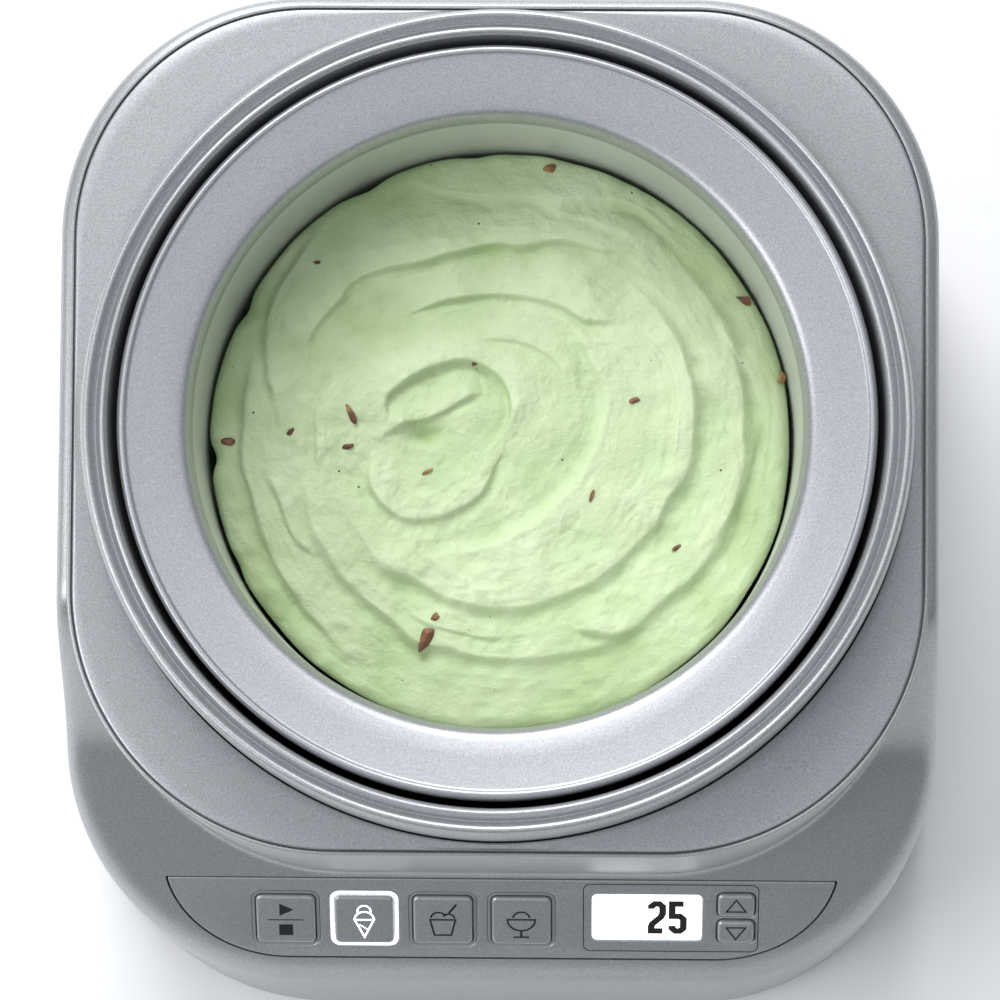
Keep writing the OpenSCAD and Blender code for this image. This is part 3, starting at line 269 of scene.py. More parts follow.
# Finishes of the mechanical pieces, by material slot: colour, second colour, grain in millimetres, bump in
# millimetres, roughness and metal.
FINISHES = {
    "pan_plastic": ("charcoal polypropylene, fine spark texture", "2C2D2F", "38393B", 0.8, 0.03, 0.6, 0),
    "foot_rubber": ("moulded rubber feet", "141414", "1E1E1E", 1.2, 0.02, 0.8, 0),
    "screw_steel": ("zinc plated screw steel", "9FA2A6", "C2C4C8", 2.0, 0.005, 0.35, 1),
    "grommet_rubber": ("black grommet rubber", "131313", "1D1D1D", 0.9, 0.015, 0.75, 0),
    "seal_rubber": ("black lip seal rubber", "161616", "222222", 0.9, 0.01, 0.6, 0),
    "plate_steel": ("pressed galvanised steel", "8D9196", "B4B8BC", 7.0, 0.01, 0.4, 1),
    "pin_steel": ("ground shaft steel", "B0B3B7", "C9CBCE", 0.4, 0.002, 0.2, 1),
    "bush_bronze": ("oiled sintered bronze", "8A6A3A", "A5834C", 0.5, 0.01, 0.45, 1),
    "hub_plastic": ("black glass-filled nylon", "222325", "2E2F31", 0.7, 0.02, 0.5, 0),
    "gear_nylon": ("natural nylon gears", "E3E0D2", "EFECE0", 3.0, 0.005, 0.4, 0),
    "core_steel": ("varnished motor laminations", "4E5258", "6A6E74", 0.5, 0.03, 0.5, 1),
    "bobbin_plastic": ("white nylon bobbin", "E6E4DA", "F0EEE6", 2.0, 0.01, 0.5, 0),
    "copper_wire": ("enamelled copper wire", "8E4520", "C46A34", 0.5, 0.08, 0.3, 1),
    "bracket_steel": ("plated bracket steel", "9A9DA1", "BABDC1", 4.0, 0.008, 0.35, 1),
    "rotor_steel": ("turned rotor steel", "6C6F73", "8A8D91", 0.6, 0.01, 0.35, 1),
    "pinion_brass": ("cut brass", "B08A45", "CBA45C", 0.6, 0.006, 0.3, 1),
    "lcd_white": ("white display film", "E4E8EE", "F2F5F9", 3.0, 0.002, 0.3, 0),
    "backlight_white": ("white light diffuser", "E8E8E4", "F4F4F0", 2.0, 0.004, 0.5, 0),
    "board_laminate": ("green circuit board laminate", "0E4A24", "1A5E30", 1.6, 0.01, 0.35, 0),
    "chip_black": ("black moulding epoxy", "171717", "232323", 0.4, 0.006, 0.5, 0),
    "transformer_black": ("taped transformer", "1B1B1D", "2B2B2E", 1.0, 0.01, 0.45, 0),
    "capacitor_blue": ("blue capacitor sleeve", "10184A", "1B2560", 2.5, 0.003, 0.25, 0),
    "relay_blue": ("blue relay case", "1A4A9A", "2458AC", 1.5, 0.004, 0.3, 0),
    "terminal_green": ("green terminal block", "1F6B38", "2B7F46", 0.8, 0.01, 0.5, 0),
    "cable_black": ("black cable sleeve", "161616", "222222", 0.7, 0.01, 0.5, 0),
    "lead_red": ("red silicone lead", "7E1512", "92201B", 0.7, 0.01, 0.5, 0),
    "gel_blue": ("sealed cooling gel", "5E9ED0", "7FB8E0", 6.0, 0.01, 0.2, 0),
    "bowl_foot_plastic": ("grey moulded bowl base", "8F9296", "9DA0A4", 0.8, 0.02, 0.5, 0),
}


def dress(obj, material):
    """Gives an object one material."""
    obj.data.materials.clear()
    obj.data.materials.append(material)


# ---------------------------------------------------------------------------
# Modelling helpers
# ---------------------------------------------------------------------------


def clear_selection():
    """Nothing is selected or active."""
    if bpy.context.object and bpy.context.object.mode != "OBJECT":
        bpy.ops.object.mode_set(mode="OBJECT")
    bpy.ops.object.select_all(action="DESELECT")


def only(obj):
    """Selects obj alone and makes it active."""
    clear_selection()
    obj.select_set(True)
    bpy.context.view_layer.objects.active = obj


def join(name, pieces):
    """One object from several."""
    only(pieces[0])
    for piece in pieces[1:]:
        piece.select_set(True)
    if len(pieces) > 1:
        bpy.ops.object.join()
    pieces[0].name = name
    return pieces[0]


def weld(gap):
    """Joins the active mesh's points that lie within a gap, in metres, and turns its faces outward."""
    bpy.ops.object.mode_set(mode="EDIT")
    bpy.ops.mesh.select_all(action="SELECT")
    bpy.ops.mesh.remove_doubles(threshold=gap)
    bpy.ops.mesh.normals_make_consistent(inside=False)
    bpy.ops.object.mode_set(mode="OBJECT")


def finish_piece(obj, name, body, material, nodes, angle=35):
    """Names, smooths and dresses a piece, hangs it on the body it rides on, and hides the nodes it stands for."""
    obj.name = name
    only(obj)
    bpy.ops.object.shade_smooth_by_angle(angle=math.radians(angle))
    dress(obj, material)
    if nodes:
        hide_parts(*nodes)
    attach(obj, body)
    clear_selection()
    return obj


def shaped_grid(name, across, along, place):
    """A grid whose points are then pulled to place(u, v), as a sculptor pulls a surface, with u and v counting its
    columns and rows. Edges that meet are welded."""
    clear_selection()
    bpy.ops.mesh.primitive_grid_add(x_subdivisions=across, y_subdivisions=along, size=2)
    obj = bpy.context.object
    obj.name = name
    flat = np.array([v.co for v in obj.data.vertices])
    u = np.rint((flat[:, 0] + 1) / 2 * across).astype(int)
    v = np.rint((flat[:, 1] + 1) / 2 * along).astype(int)
    obj.data.vertices.foreach_set("co", place(u, v).astype(np.float32).ravel())
    obj.data.update()
    weld(1e-6)
    return obj


def rounded(points, steps=5):
    """A profile from (r, z) or (r, z, size) points in millimetres: a corner with a size becomes a smooth bend."""
    out = []
    n = len(points)
    for i, p in enumerate(points):
        here = np.array(p[:2], float)
        size = p[2] if len(p) > 2 else 0
        if not size or i in (0, n - 1):
            out.append(here)
            continue
        before, after = np.array(points[i - 1][:2], float), np.array(points[i + 1][:2], float)
        a = before - here
        b = after - here
        size = min(size, 0.49 * np.linalg.norm(a), 0.49 * np.linalg.norm(b))
        start, end = here + a / np.linalg.norm(a) * size, here + b / np.linalg.norm(b) * size
        for t in np.linspace(0, 1, steps + 1):
            out.append((1 - t) ** 2 * start + 2 * t * (1 - t) * here + t * t * end)
    return out


def spun(name, profile, segments, closed=True):
    """Spins a profile of (r, z) points in millimetres round the bowl's axis."""
    clear_selection()
    bpy.ops.mesh.primitive_plane_add(size=1)
    obj = bpy.context.object
    obj.name = name
    mesh = obj.data
    points = [(r * MM, BOWL_Y, z * MM) for r, z in profile]
    edges = [(i, i + 1) for i in range(len(points) - 1)] + ([(len(points) - 1, 0)] if closed else [])
    mesh.clear_geometry()
    mesh.from_pydata(points, edges, [])
    mesh.update()
    bpy.ops.object.mode_set(mode="EDIT")
    bpy.ops.mesh.select_all(action="SELECT")
    bpy.ops.mesh.spin(steps=segments, angle=2 * math.pi, center=(0, BOWL_Y, 0), axis=(0, 0, 1))
    weld(2e-6)
    return obj


def round_loop(x, y, w, h, r, n=8):
    """The points of a rectangle with round corners, in millimetres."""
    loop = []
    for i, (sx, sy) in enumerate(((1, 1), (-1, 1), (-1, -1), (1, -1))):
        for a in np.linspace(0, 90, n + 1):
            t = math.radians(90 * i + a)
            loop.append((x + sx * (w / 2 - r) + r * math.cos(t), y + sy * (h / 2 - r) + r * math.sin(t)))
    return loop


def plate(name, loops, low, high, matrix, bevel=0.0, segments=2):
    """A plate from closed loops of (x, y) points in millimetres: the outer one, then its holes. It lies between low
    and high on z of the matrix, and its edges are rounded by bevel."""
    clear_selection()
    curve = bpy.data.curves.new(name, "CURVE")
    curve.dimensions = "2D"
    curve.fill_mode = "BOTH"
    curve.extrude = max((high - low) / 2 - bevel, 0) * MM
    curve.bevel_depth = bevel * MM
    curve.bevel_resolution = segments
    curve.offset = -bevel * MM
    for loop in loops:
        spline = curve.splines.new("POLY")
        spline.points.add(len(loop) - 1)
        spline.points.foreach_set("co", np.array([(x * MM, y * MM, 0, 1) for x, y in loop]).ravel())
        spline.use_cyclic_u = True
    obj = bpy.data.objects.new(name, curve)
    bpy.context.scene.collection.objects.link(obj)
    only(obj)
    bpy.ops.object.convert(target="MESH")
    obj = bpy.context.object
    lift = Matrix.Translation((0, 0, (low + high) / 2 * MM))
    obj.data.transform(matrix @ lift)
    weld(1e-7)
    return obj


def ribbon(points, width, closed=False):
    """The edge loops of a line of a given width along points, in millimetres: one loop, or two if it is closed."""
    p = np.array(points, float)
    before = np.roll(p, 1, axis=0) if closed else np.vstack([p[:1] * 2 - p[1:2], p[:-1]])
    after = np.roll(p, -1, axis=0) if closed else np.vstack([p[1:], p[-1:] * 2 - p[-2:-1]])
    a, b = p - before, after - p
    a /= np.linalg.norm(a, axis=1, keepdims=True)
    b /= np.linalg.norm(b, axis=1, keepdims=True)
    side = np.c_[-(a + b)[:, 1], (a + b)[:, 0]]
    side /= np.linalg.norm(side, axis=1, keepdims=True)
    reach = width / 2 / np.maximum((side * np.c_[-a[:, 1], a[:, 0]]).sum(axis=1), 0.4)
    left, right = p + side * reach[:, None], p - side * reach[:, None]
    return [left, right] if closed else [np.vstack([left, right[::-1]])]


def cut(obj, cutter):
    """Takes the cutter's shape out of an object."""
    only(obj)
    hollow = obj.modifiers.new("cut", "BOOLEAN")
    hollow.operation, hollow.solver, hollow.object = "DIFFERENCE", "EXACT", cutter
    bpy.ops.object.modifier_apply(modifier=hollow.name)
    bpy.data.objects.remove(cutter)
    return obj


def rod(name, r, low, high, x=0.0, y=0.0, matrix=None, sides=24):
    """A round bar in millimetres, along z of the matrix."""
    clear_selection()
    bpy.ops.mesh.primitive_cylinder_add(
        vertices=sides, radius=r * MM, depth=(high - low) * MM, location=(x * MM, y * MM, (low + high) / 2 * MM))
    obj = bpy.context.object
    obj.name = name
    bpy.ops.object.transform_apply(location=True, rotation=True, scale=True)
    if matrix:
        obj.data.transform(matrix)
    return obj


# ---------------------------------------------------------------------------
# The housing's surface
# ---------------------------------------------------------------------------


def outline(half, front, back, front_r, back_r, corner, side, end):
    """Points round the body, anticlockwise from the front right corner, in millimetres, with the straight sides
    and both ends in even steps."""
    def arc(cx, cy, r, start):
        t = np.radians(start + 90 * np.linspace(0, 1, corner + 1))
        return np.c_[cx + r * np.cos(t), cy + r * np.sin(t)]

    def line(a, b, n):
        t = np.linspace(0, 1, n + 1)[1:-1, None]
        return np.array(a) + (np.array(b) - np.array(a)) * t

    fx, bx, low, high = half - front_r, half - back_r, front + front_r, back - back_r
    return np.concatenate([
        arc(fx, low, front_r, -90), line((half, low), (half, high), side),
        arc(bx, high, back_r, 0), line((bx, back), (-bx, back), end),
        arc(-bx, high, back_r, 90), line((-half, high), (-half, low), side),
        arc(-fx, low, front_r, 180), line((-fx, front), (fx, front), end)])


def soft_min(a, b, s):
    """The lower of two heights, blended over s."""
    return np.minimum(a, b) - np.maximum(s - np.abs(a - b), 0) ** 2 / (4 * s)


def soft_max(a, b, s):
    """The higher of two heights, blended over s."""
    return -soft_min(-a, -b, s)


def bend(a, corner, b, n):
    """n + 1 points on a smooth bend from a to b, drawn towards the corner."""
    t = np.linspace(0, 1, n + 1)[:, None, None]
    return (1 - t) ** 2 * a + 2 * t * (1 - t) * corner + t * t * b


def toward(a, b, size):
    """The point at a distance from a towards b."""
    d = b - a
    length = np.linalg.norm(d, axis=-1, keepdims=True)
    return a + d / np.maximum(length, 1e-9) * np.minimum(size, length)


class Surface:
    """The silver body's shape: leaning walls, a sloping control deck, and a tower round the bowl."""

    def __init__(self, p):
        self.p = p
        self.half, self.back = HOUSING_HIGH.x / MM, HOUSING_HIGH.y / MM
        self.foot_z, self.body_h = HOUSING_LOW.z / MM, TOP_Z / MM
        self.lean_top = self.body_h - 12  # the height the lean is measured to
        self.bowl_y, self.collar_r = BOWL_Y / MM, COLLAR_R / MM
        self.lean, self.front_z = p.wall_lean / MM, p.deck_front_z / MM
        self.slope = math.tan(p.deck_slope)
        self.front_y = -self.back + self.lean * (self.front_z - self.foot_z) / (self.lean_top - self.foot_z)
        self.ramp_y = self.front_y + 61.2
        self.cover_z = self.body_h - 16.5
        self.tilt = math.tan(p.top_tilt)
        half = self.collar_r + p.tower_side / MM
        self.tower = (half, self.bowl_y - self.collar_r - 3.7, self.bowl_y + self.collar_r + 2.6, 65.0, 58.0)
        self.corners = [r / MM for r in (p.foot_front, p.foot_back, p.top_front, p.top_back)]
        self.count = (48, 40, 24)  # steps in a corner, along a side and along an end
        self.foot, self.top = self.wall_lines(0)

    def wall_lines(self, d):
        """The walls' outlines at the foot and at the top, drawn in by d."""
        foot_front, foot_back, top_front, top_back = (r - d for r in self.corners)
        lean = self.lean + d
        return (outline(self.half - d, d - self.back, self.back - d, foot_front, foot_back, *self.count),
                outline(self.half - lean, lean - self.back, self.back - lean, top_front, top_back, *self.count))

    def inset(self, d):
        """The tower's outline, drawn in by d."""
        half, front, back, fr, br = self.tower
        return half - d, front + d, back - d, fr - d, br - d

    def nearest(self, d, w):
        """The points of the tower's outline, drawn in by d, that are nearest to the points w outside it."""
        half, front, back, fr, br = self.inset(d)
        low, high = front + fr, back - br
        r = np.where(w[:, 1] < low, fr, br)
        c = np.c_[np.clip(w[:, 0], r - half, half - r), np.clip(w[:, 1], low, high)]
        away = w - c
        bent = c + away * (r / np.maximum(np.linalg.norm(away, axis=1), 1e-9))[:, None]
        straight = np.c_[np.sign(w[:, 0]) * half, w[:, 1]]
        return np.where(((w[:, 1] < low) | (w[:, 1] > high))[:, None], bent, straight)

    def cover(self, y):
        """Height of the top cover."""
        return self.cover_z + (y - self.bowl_y) * self.tilt

    def deck(self, y, part):
        """Height of the deck: part is 0 at its outer edge and 1 at the foot of the tower."""
        plane = self.front_z + (y - self.front_y) * self.slope
        ramp = self.front_z + (self.ramp_y - self.front_y) * self.slope + (y - self.ramp_y) * math.tan(
            self.p.ramp_slope)
        return soft_min(soft_max(plane, ramp, 9), self.cover(y) - 1.8 + 1.4 * part, 12)

    def wall(self, z, inset=0.0):
        """Wall points at heights z, drawn in by inset."""
        foot, top = self.wall_lines(inset) if inset else (self.foot, self.top)
        z = np.broadcast_to(np.asarray(z, float), (len(foot),))
        part = ((z - self.foot_z) / (self.lean_top - self.foot_z))[:, None]
        return np.c_[foot + (top - foot) * part, z]

    def sections(self):
        """The closed section of the housing's shell in every column: an array of rows x columns x 3."""
        edge_z = self.deck(self.wall(self.front_z + 40)[:, 1], 0)
        for _ in range(3):
            edge_z = self.deck(self.wall(edge_z)[:, 1], 0)
        edge = self.wall(edge_z)
        t_xy = self.nearest(0, edge[:, :2])
        reach = np.linalg.norm(t_xy - edge[:, :2], axis=1)

        def deck_point(part):
            part = np.broadcast_to(part, reach.shape)
            xy = edge[:, :2] + (t_xy - edge[:, :2]) * part[:, None]
            return np.c_[xy, self.deck(xy[:, 1], part)]

        size = np.minimum(self.p.edge_round / MM, 0.8 * reach)
        foot_z = self.deck(t_xy[:, 1], 1)
        top_z = self.cover(t_xy[:, 1])
        face = np.maximum(top_z - foot_z, 0.05)
        inner = np.minimum(np.minimum(self.p.foot_round / MM, 0.45 * face), 0.15 * reach)
        lip = np.minimum(self.p.lip_round / MM, 0.45 * face)
        first, last = size / reach, 1 - inner / reach
        rows = [self.wall(self.foot_z, 0.5), self.wall(self.foot_z + 0.15, 0.12), self.wall(self.foot_z + 0.6)]
        for part in (0.1, 0.35, 0.6, 0.8, 0.93):
            rows.append(self.wall(self.foot_z + 0.6 + (edge_z - size - self.foot_z - 0.6) * part))
        rows.extend(bend(self.wall(edge_z - size), edge, deck_point(first), 10))
        for part in np.linspace(0, 1, 13)[1:-1]:
            rows.append(deck_point(first + (last - first) * part))
        foot = np.c_[t_xy, foot_z]
        top = np.c_[t_xy, top_z]
        rows.extend(bend(deck_point(last), foot, np.c_[t_xy, foot_z + inner], 5))
        for part in (0.25, 0.5, 0.75):
            rows.append(np.c_[t_xy, foot_z + inner + (face - inner - lip) * part])
        rim_xy = self.nearest(self.p.rim_width / MM, edge[:, :2])
        rim = np.c_[rim_xy, self.cover(rim_xy[:, 1])]
        half_rim = (top + rim) / 2
        rows.extend(bend(np.c_[t_xy, top_z - lip], top, half_rim, 4))
        drop = rim - np.array([0, 0, 0.25])
        rows.extend(bend(half_rim, rim, drop, 3)[1:])
        ledge = rim - np.array([0, 0, LEDGE])
        rows.append(ledge)
        skin_xy = self.nearest(TOWER_SKIN, edge[:, :2])
        rows.append(np.c_[skin_xy, ledge[:, 2]])
        under_z = np.minimum(foot_z - SKIN, ledge[:, 2] - 1.5)
        rows.append(np.c_[skin_xy, under_z])
        in_wall = self.wall(edge_z - 3.3, WALL)
        for part in (1 / 3, 2 / 3):
            xy = skin_xy + (in_wall[:, :2] - skin_xy) * part
            below = self.deck(xy[:, 1], 1 - part) - SKIN
            rows.append(np.c_[xy, np.minimum(below, under_z + 6 * (top_z - foot_z))])
        rows.append(np.c_[in_wall[:, :2], np.minimum(self.deck(in_wall[:, 1], 0) - SKIN, edge_z - SKIN)])
        rows.append(self.wall(self.foot_z, WALL))
        return np.array(rows)


# ---------------------------------------------------------------------------
# Ice cream
# ---------------------------------------------------------------------------


def flowing(points, n):
    """n points on a smooth line through the given ones."""
    p = np.array(points, float)
    p = np.vstack([2 * p[0] - p[1], p, 2 * p[-1] - p[-2]])
    out = []
    for t in np.linspace(0, len(p) - 3 - 1e-6, n):
        i, f = int(t), t - int(t)
        a, b, c, d = p[i:i + 4]
        out.append(0.5 * (2 * b + (c - a) * f + (2 * a - 5 * b + 4 * c - d) * f ** 2
                          + (3 * b - a - 3 * c + d) * f ** 3))
    return np.array(out)


def lumps(x, y, size, seed):
    """A smooth random field between -1 and 1, whose lumps are size across."""
    field = np.random.default_rng(seed).uniform(-1, 1, (64, 64))
    gx, gy = x / size + 19.3, y / size + 27.7
    ix, iy = np.floor(gx).astype(int), np.floor(gy).astype(int)
    fx, fy = gx - ix, gy - iy
    fx, fy = fx * fx * (3 - 2 * fx), fy * fy * (3 - 2 * fy)
    at = lambda i, j: field[(ix + i) % 64, (iy + j) % 64]
    return ((at(0, 0) * (1 - fx) + at(1, 0) * fx) * (1 - fy) + (at(0, 1) * (1 - fx) + at(1, 1) * fx) * fy)


# Each stroke of the spatula: its line in millimetres from the bowl's axis, the height of its fold, the width of its
# smooth side and of its sharp side. The smooth side lies to the left of the line's direction.
STROKES = [
    ([(-42, 33), (-34, 41), (-20, 45), (-4, 48), (12, 50), (28, 48), (38, 42)], 3.0, 11, 0.9),
    ([(-24, 31), (-12, 35), (2, 36), (14, 34), (22, 30), (31, 30)], 2.3, 8, 0.8),
    ([(-29, 3), (-27, 11), (-18, 17), (-8, 19), (1, 15), (3, 6), (-2, -4)], 3.0, 8, 0.9),
    ([(-30, 1), (-24, 3), (-16, 5), (-9, 10), (-4, 13)], 2.2, 5, 0.7),
    ([(4, 34), (16, 30), (24, 20), (26, 6), (21, -8), (11, -20), (-4, -28), (-18, -30)], 2.4, 13, 2.6),
    ([(-38, -9), (-36, -22), (-26, -33), (-10, -40), (8, -41), (24, -35), (38, -22), (46, -6), (47, 12),
      (42, 28), (32, 40)], 2.6, 12, 2.2),
    ([(-50, 8), (-48, -14), (-38, -34), (-20, -49), (2, -54), (24, -51), (44, -38), (57, -18), (60, 4),
      (56, 26), (44, 44), (28, 56)], 2.4, 12, 2.4),
    ([(-60, 26), (-64, 4), (-60, -20), (-48, -42), (-30, -57)], 2.2, 10, 1.8),
    ([(-44, 52), (-54, 38), (-58, 20), (-54, 2)], 2.0, 10, 1.4),
    ([(-26, 66), (-8, 62), (10, 61), (28, 60), (44, 52)], 2.2, 9, 1.6),
    ([(18, -47), (28, -49), (36, -47)], 2.0, 5, 0.8),
    ([(-31, -2), (-32, -12), (-24, -20), (-12, -19), (-4, -12), (2, -2)], 2.2, 7, 1.2),
    ([(-50, 22), (-44, 32), (-36, 38)], 1.8, 8, 1.2),
    ([(50, -28), (60, -12), (64, 8)], 1.6, 8, 1.6),
    ([(-8, 25), (4, 25), (14, 20), (19, 10)], 1.3, 6, 1.0),
    ([(-58, -8), (-52, -22), (-44, -30)], 1.4, 6, 1.0),
    ([(-40, 18), (-46, 6), (-44, -8)], 1.3, 6, 0.9),
    ([(34, 30), (42, 18), (44, 2), (40, -12)], 1.3, 7, 1.2),
    ([(-24, -44), (-10, -48), (6, -49)], 1.2, 5, 0.9),
    ([(8, 60), (24, 55), (36, 48)], 1.2, 5, 0.9),
    ([(52, 32), (60, 20), (65, 6), (66, -8)], 1.3, 6, 1.0),
]


def cream_height(x, y):
    """Height of the ice cream's surface above its mean level, in millimetres."""
    height = 0.9 * lumps(x, y, 24, 3) + 0.45 * lumps(x, y, 10, 5)
    bend_x, bend_y = x + 1.1 * lumps(x, y, 9, 11), y + 1.1 * lumps(x, y, 9, 12)
    for i, (points, rise, wide, sharp) in enumerate(STROKES):
        line = flowing(points, 130)
        ahead = np.gradient(line, axis=0)
        ahead /= np.linalg.norm(ahead, axis=1, keepdims=True)
        dx, dy = bend_x[:, None] - line[:, 0], bend_y[:, None] - line[:, 1]
        near = np.argmin(dx * dx + dy * dy, axis=1)
        row = np.arange(len(x))
        off = ahead[near, 0] * dy[row, near] - ahead[near, 1] * dx[row, near]
        past_end = (near == 0) | (near == len(line) - 1)
        off = np.where(past_end, np.sign(off) * np.hypot(dx[row, near], dy[row, near]), off)
        t = near / (len(line) - 1)
        crest = 0.85 * rise * np.clip(np.minimum(t, 1 - t) * 5, 0, 1)
        crest = crest * (0.85 + 0.25 * lumps(x, y, 14, 20 + i))
        smooth = np.exp(-(np.maximum(off, 0) / wide) ** 2) * np.where(off > 0, 1, 0)
        steep = np.exp(-(np.maximum(-off, 0) / (0.62 * sharp)) ** 2) * np.where(off <= 0, 1, 0)
        trough = -0.22 * np.exp(-((off + 1.1 * sharp + 0.5) / (0.6 * sharp + 0.5)) ** 2)
        drag = 0.09 * lumps(off * 1.9 + 40 * i, t * 14 + 3 * lumps(x, y, 9, 40 + i), 1.7, 60 + i)
        drag = drag * np.exp(-(off / (1.2 * wide)) ** 2)
        height += crest * (smooth + steep + trough) + drag
    height -= 3.2 * np.exp(-((x + 18.5) / 4.2) ** 2 - ((y - 1.0) / 2.2) ** 2)
    height += 1.6 * np.exp(-((x + 24.5) / 2.2) ** 2 - ((y - 4.0) / 1.6) ** 2)
    rough = np.clip(0.5 + lumps(x, y, 15, 9), 0, 1)
    height += 0.4 * lumps(x, y, 5.5, 6) + (0.14 + 0.2 * rough) * lumps(x, y, 2.6, 7)
    height += (0.05 + 0.13 * rough) * lumps(x, y, 1.2, 8)
    return height


# Nut pieces: place in millimetres from the bowl's axis, length, width, and turn in degrees.
NUTS = [
    (12.0, 68.0, 3.2, 2.0, 10), (60.5, 35.5, 4.2, 2.2, -20), (70.0, 15.5, 3.6, 2.4, 80),
    (33.5, 9.6, 2.6, 1.3, 15), (-37.0, 5.8, 4.6, 1.7, -65), (-37.6, -2.4, 2.6, 1.7, 20),
    (-52.0, 1.4, 2.4, 1.2, 60), (-67.5, -1.0, 3.0, 1.6, 0), (-6.5, 18.8, 2.2, 1.3, 70),
    (-17.8, -50.0, 6.6, 2.6, 68), (-15.6, -44.6, 2.6, 1.6, 40), (44.2, -27.0, 2.6, 1.2, 20),
    (23.0, -14.5, 2.8, 0.9, 75), (-17.5, -8.2, 3.2, 1.0, 30), (-46.0, 44.0, 1.6, 0.9, 10),
]


def display_figure(figure, x, y, w, h, stroke):
    """Lines of a display figure 2 or 5 in a box of w x h millimetres centred at x, y."""
    half_w, half_h, chamfer = (w - stroke) / 2, (h - stroke) / 2, 0.9
    two = [(-half_w, half_h - 1.6), (-half_w, half_h - chamfer), (-half_w + chamfer, half_h),
           (half_w - chamfer, half_h), (half_w, half_h - chamfer), (half_w, 1.2), (half_w - 0.5, 0.1),
           (-half_w + 0.3, -half_h + 2.3), (-half_w, -half_h + 1.4), (-half_w, -half_h), (half_w, -half_h)]
    five = [(half_w, half_h), (-half_w, half_h), (-half_w, 0.4), (half_w - chamfer, 0.4), (half_w, 0.4 - chamfer),
            (half_w, -half_h + chamfer), (half_w - chamfer, -half_h), (-half_w + chamfer, -half_h),
            (-half_w, -half_h + chamfer), (-half_w, -half_h + 1.7)]
    return [(x + a, y + b) for a, b in {2: two, 5: five}[figure]]


def ring_points(x, y, r, start, end, n):
    """n + 1 points on part of a circle, in millimetres and degrees."""
    t = np.radians(np.linspace(start, end, n + 1))
    return [(x + r * math.cos(a), y + r * math.sin(a)) for a in t]


def key_symbol(kind):
    """The loops of a key's symbol, each a list of closed loops in millimetres round the key's middle."""
    if kind == "start_stop":
        play = [(-1.6, 1.3), (2.1, 3.3), (-1.6, 5.3)]
        return [[play], ribbon([(-4.6, 0), (4.6, 0)], 0.3), [[(-1.8, -5.0), (1.8, -5.0), (1.8, -1.5), (-1.8, -1.5)]]]
    if kind == "ice_cream":
        cone = ribbon([(-2.5, 0.2), (2.5, 0.2), (0, -5.4)], 0.5, True)
        return [cone, ribbon(ring_points(0, 0.3, 2.5, 180, 0, 16), 0.5),
                ribbon(ring_points(0, 3.1, 1.7, 200, -20, 14), 0.5), ribbon([(-1.3, -1.3), (0.9, -3.0)], 0.35)]
    if kind == "gelato":
        cup = ribbon([(-3.3, 0.4), (3.3, 0.4), (2.2, -4.6), (-2.2, -4.6)], 0.5, True)
        return [cup, ribbon(ring_points(-1.1, 0.8, 2.0, 175, 25, 12), 0.5),
                ribbon(ring_points(1.5, 0.7, 1.6, 150, 5, 12), 0.5), ribbon([(1.6, 2.6), (3.6, 5.4)], 0.6)]
    if kind == "sorbet":
        bowl = ribbon(ring_points(0, 0.6, 3.6, 180, 360, 18), 0.5, True)
        return [bowl, ribbon(ring_points(0, 0.9, 2.2, 170, 10, 14), 0.5), ribbon([(0, -3.2), (0, -4.9)], 0.6),
                ribbon([(-2.1, -5.1), (2.1, -5.1)], 0.5)]
    flip = 1 if kind == "time_up" else -1
    return [ribbon([(-2.5, -1.7 * flip), (2.5, -1.7 * flip), (0, 2.1 * flip)], 0.42, True)]


# ---------------------------------------------------------------------------
# Property groups
# ---------------------------------------------------------------------------


def length(name, text, value_mm, low=0.0, high=1.0):
    """A length in metres, given in millimetres."""
    return bpy.props.FloatProperty(
        name=name, description=text, default=value_mm * MM, min=low, max=high, subtype="DISTANCE", unit="LENGTH",
        precision=5)


def angle(name, text, degrees):
    """An angle, given in degrees."""
    return bpy.props.FloatProperty(name=name, description=text, default=math.radians(degrees), subtype="ANGLE")


def colour(name, text, value):
    """An sRGB colour as a hex string."""
    return bpy.props.StringProperty(name=name, description=text, default=value)


class HousingSettings(bpy.types.PropertyGroup):
    """Shape of the silver body."""
    wall_lean: length("Wall lean", "How far the walls lean in from foot to top", 9.7)
    foot_front: length("Front foot corners", "Radius of the front corners at the foot", 68)
    foot_back: length("Back foot corners", "Radius of the back corners at the foot", 60)
    top_front: length("Front top corners", "Radius of the front corners at the top", 48)
    top_back: length("Back top corners", "Radius of the back corners at the top", 59)
    deck_front_z: length("Deck height", "Height of the control deck's front edge", 92)
    deck_slope: angle("Deck slope", "Slope of the control deck", math.degrees(SLOPE))
    ramp_slope: angle("Ramp slope", "Slope of the shoulders beside the deck", 66)
    top_tilt: angle("Top tilt", "Backward rise of the top cover", 3.6)
    tower_side: length("Tower side", "Width of the tower beside the lid collar", 4.2)
    edge_round: length("Edge rounding", "Size of the bend along the outer edge", 6.5)
    foot_round: length("Tower foot rounding", "Size of the bend at the foot of the tower", 1.6)
    lip_round: length("Rim rounding", "Size of the bend along the tower's rim", 0.8)
    rim_width: length("Rim width", "Width of the rim round the top cover", 0.9)
    seam: length("Seam", "Width of the seams between mouldings", 0.3)


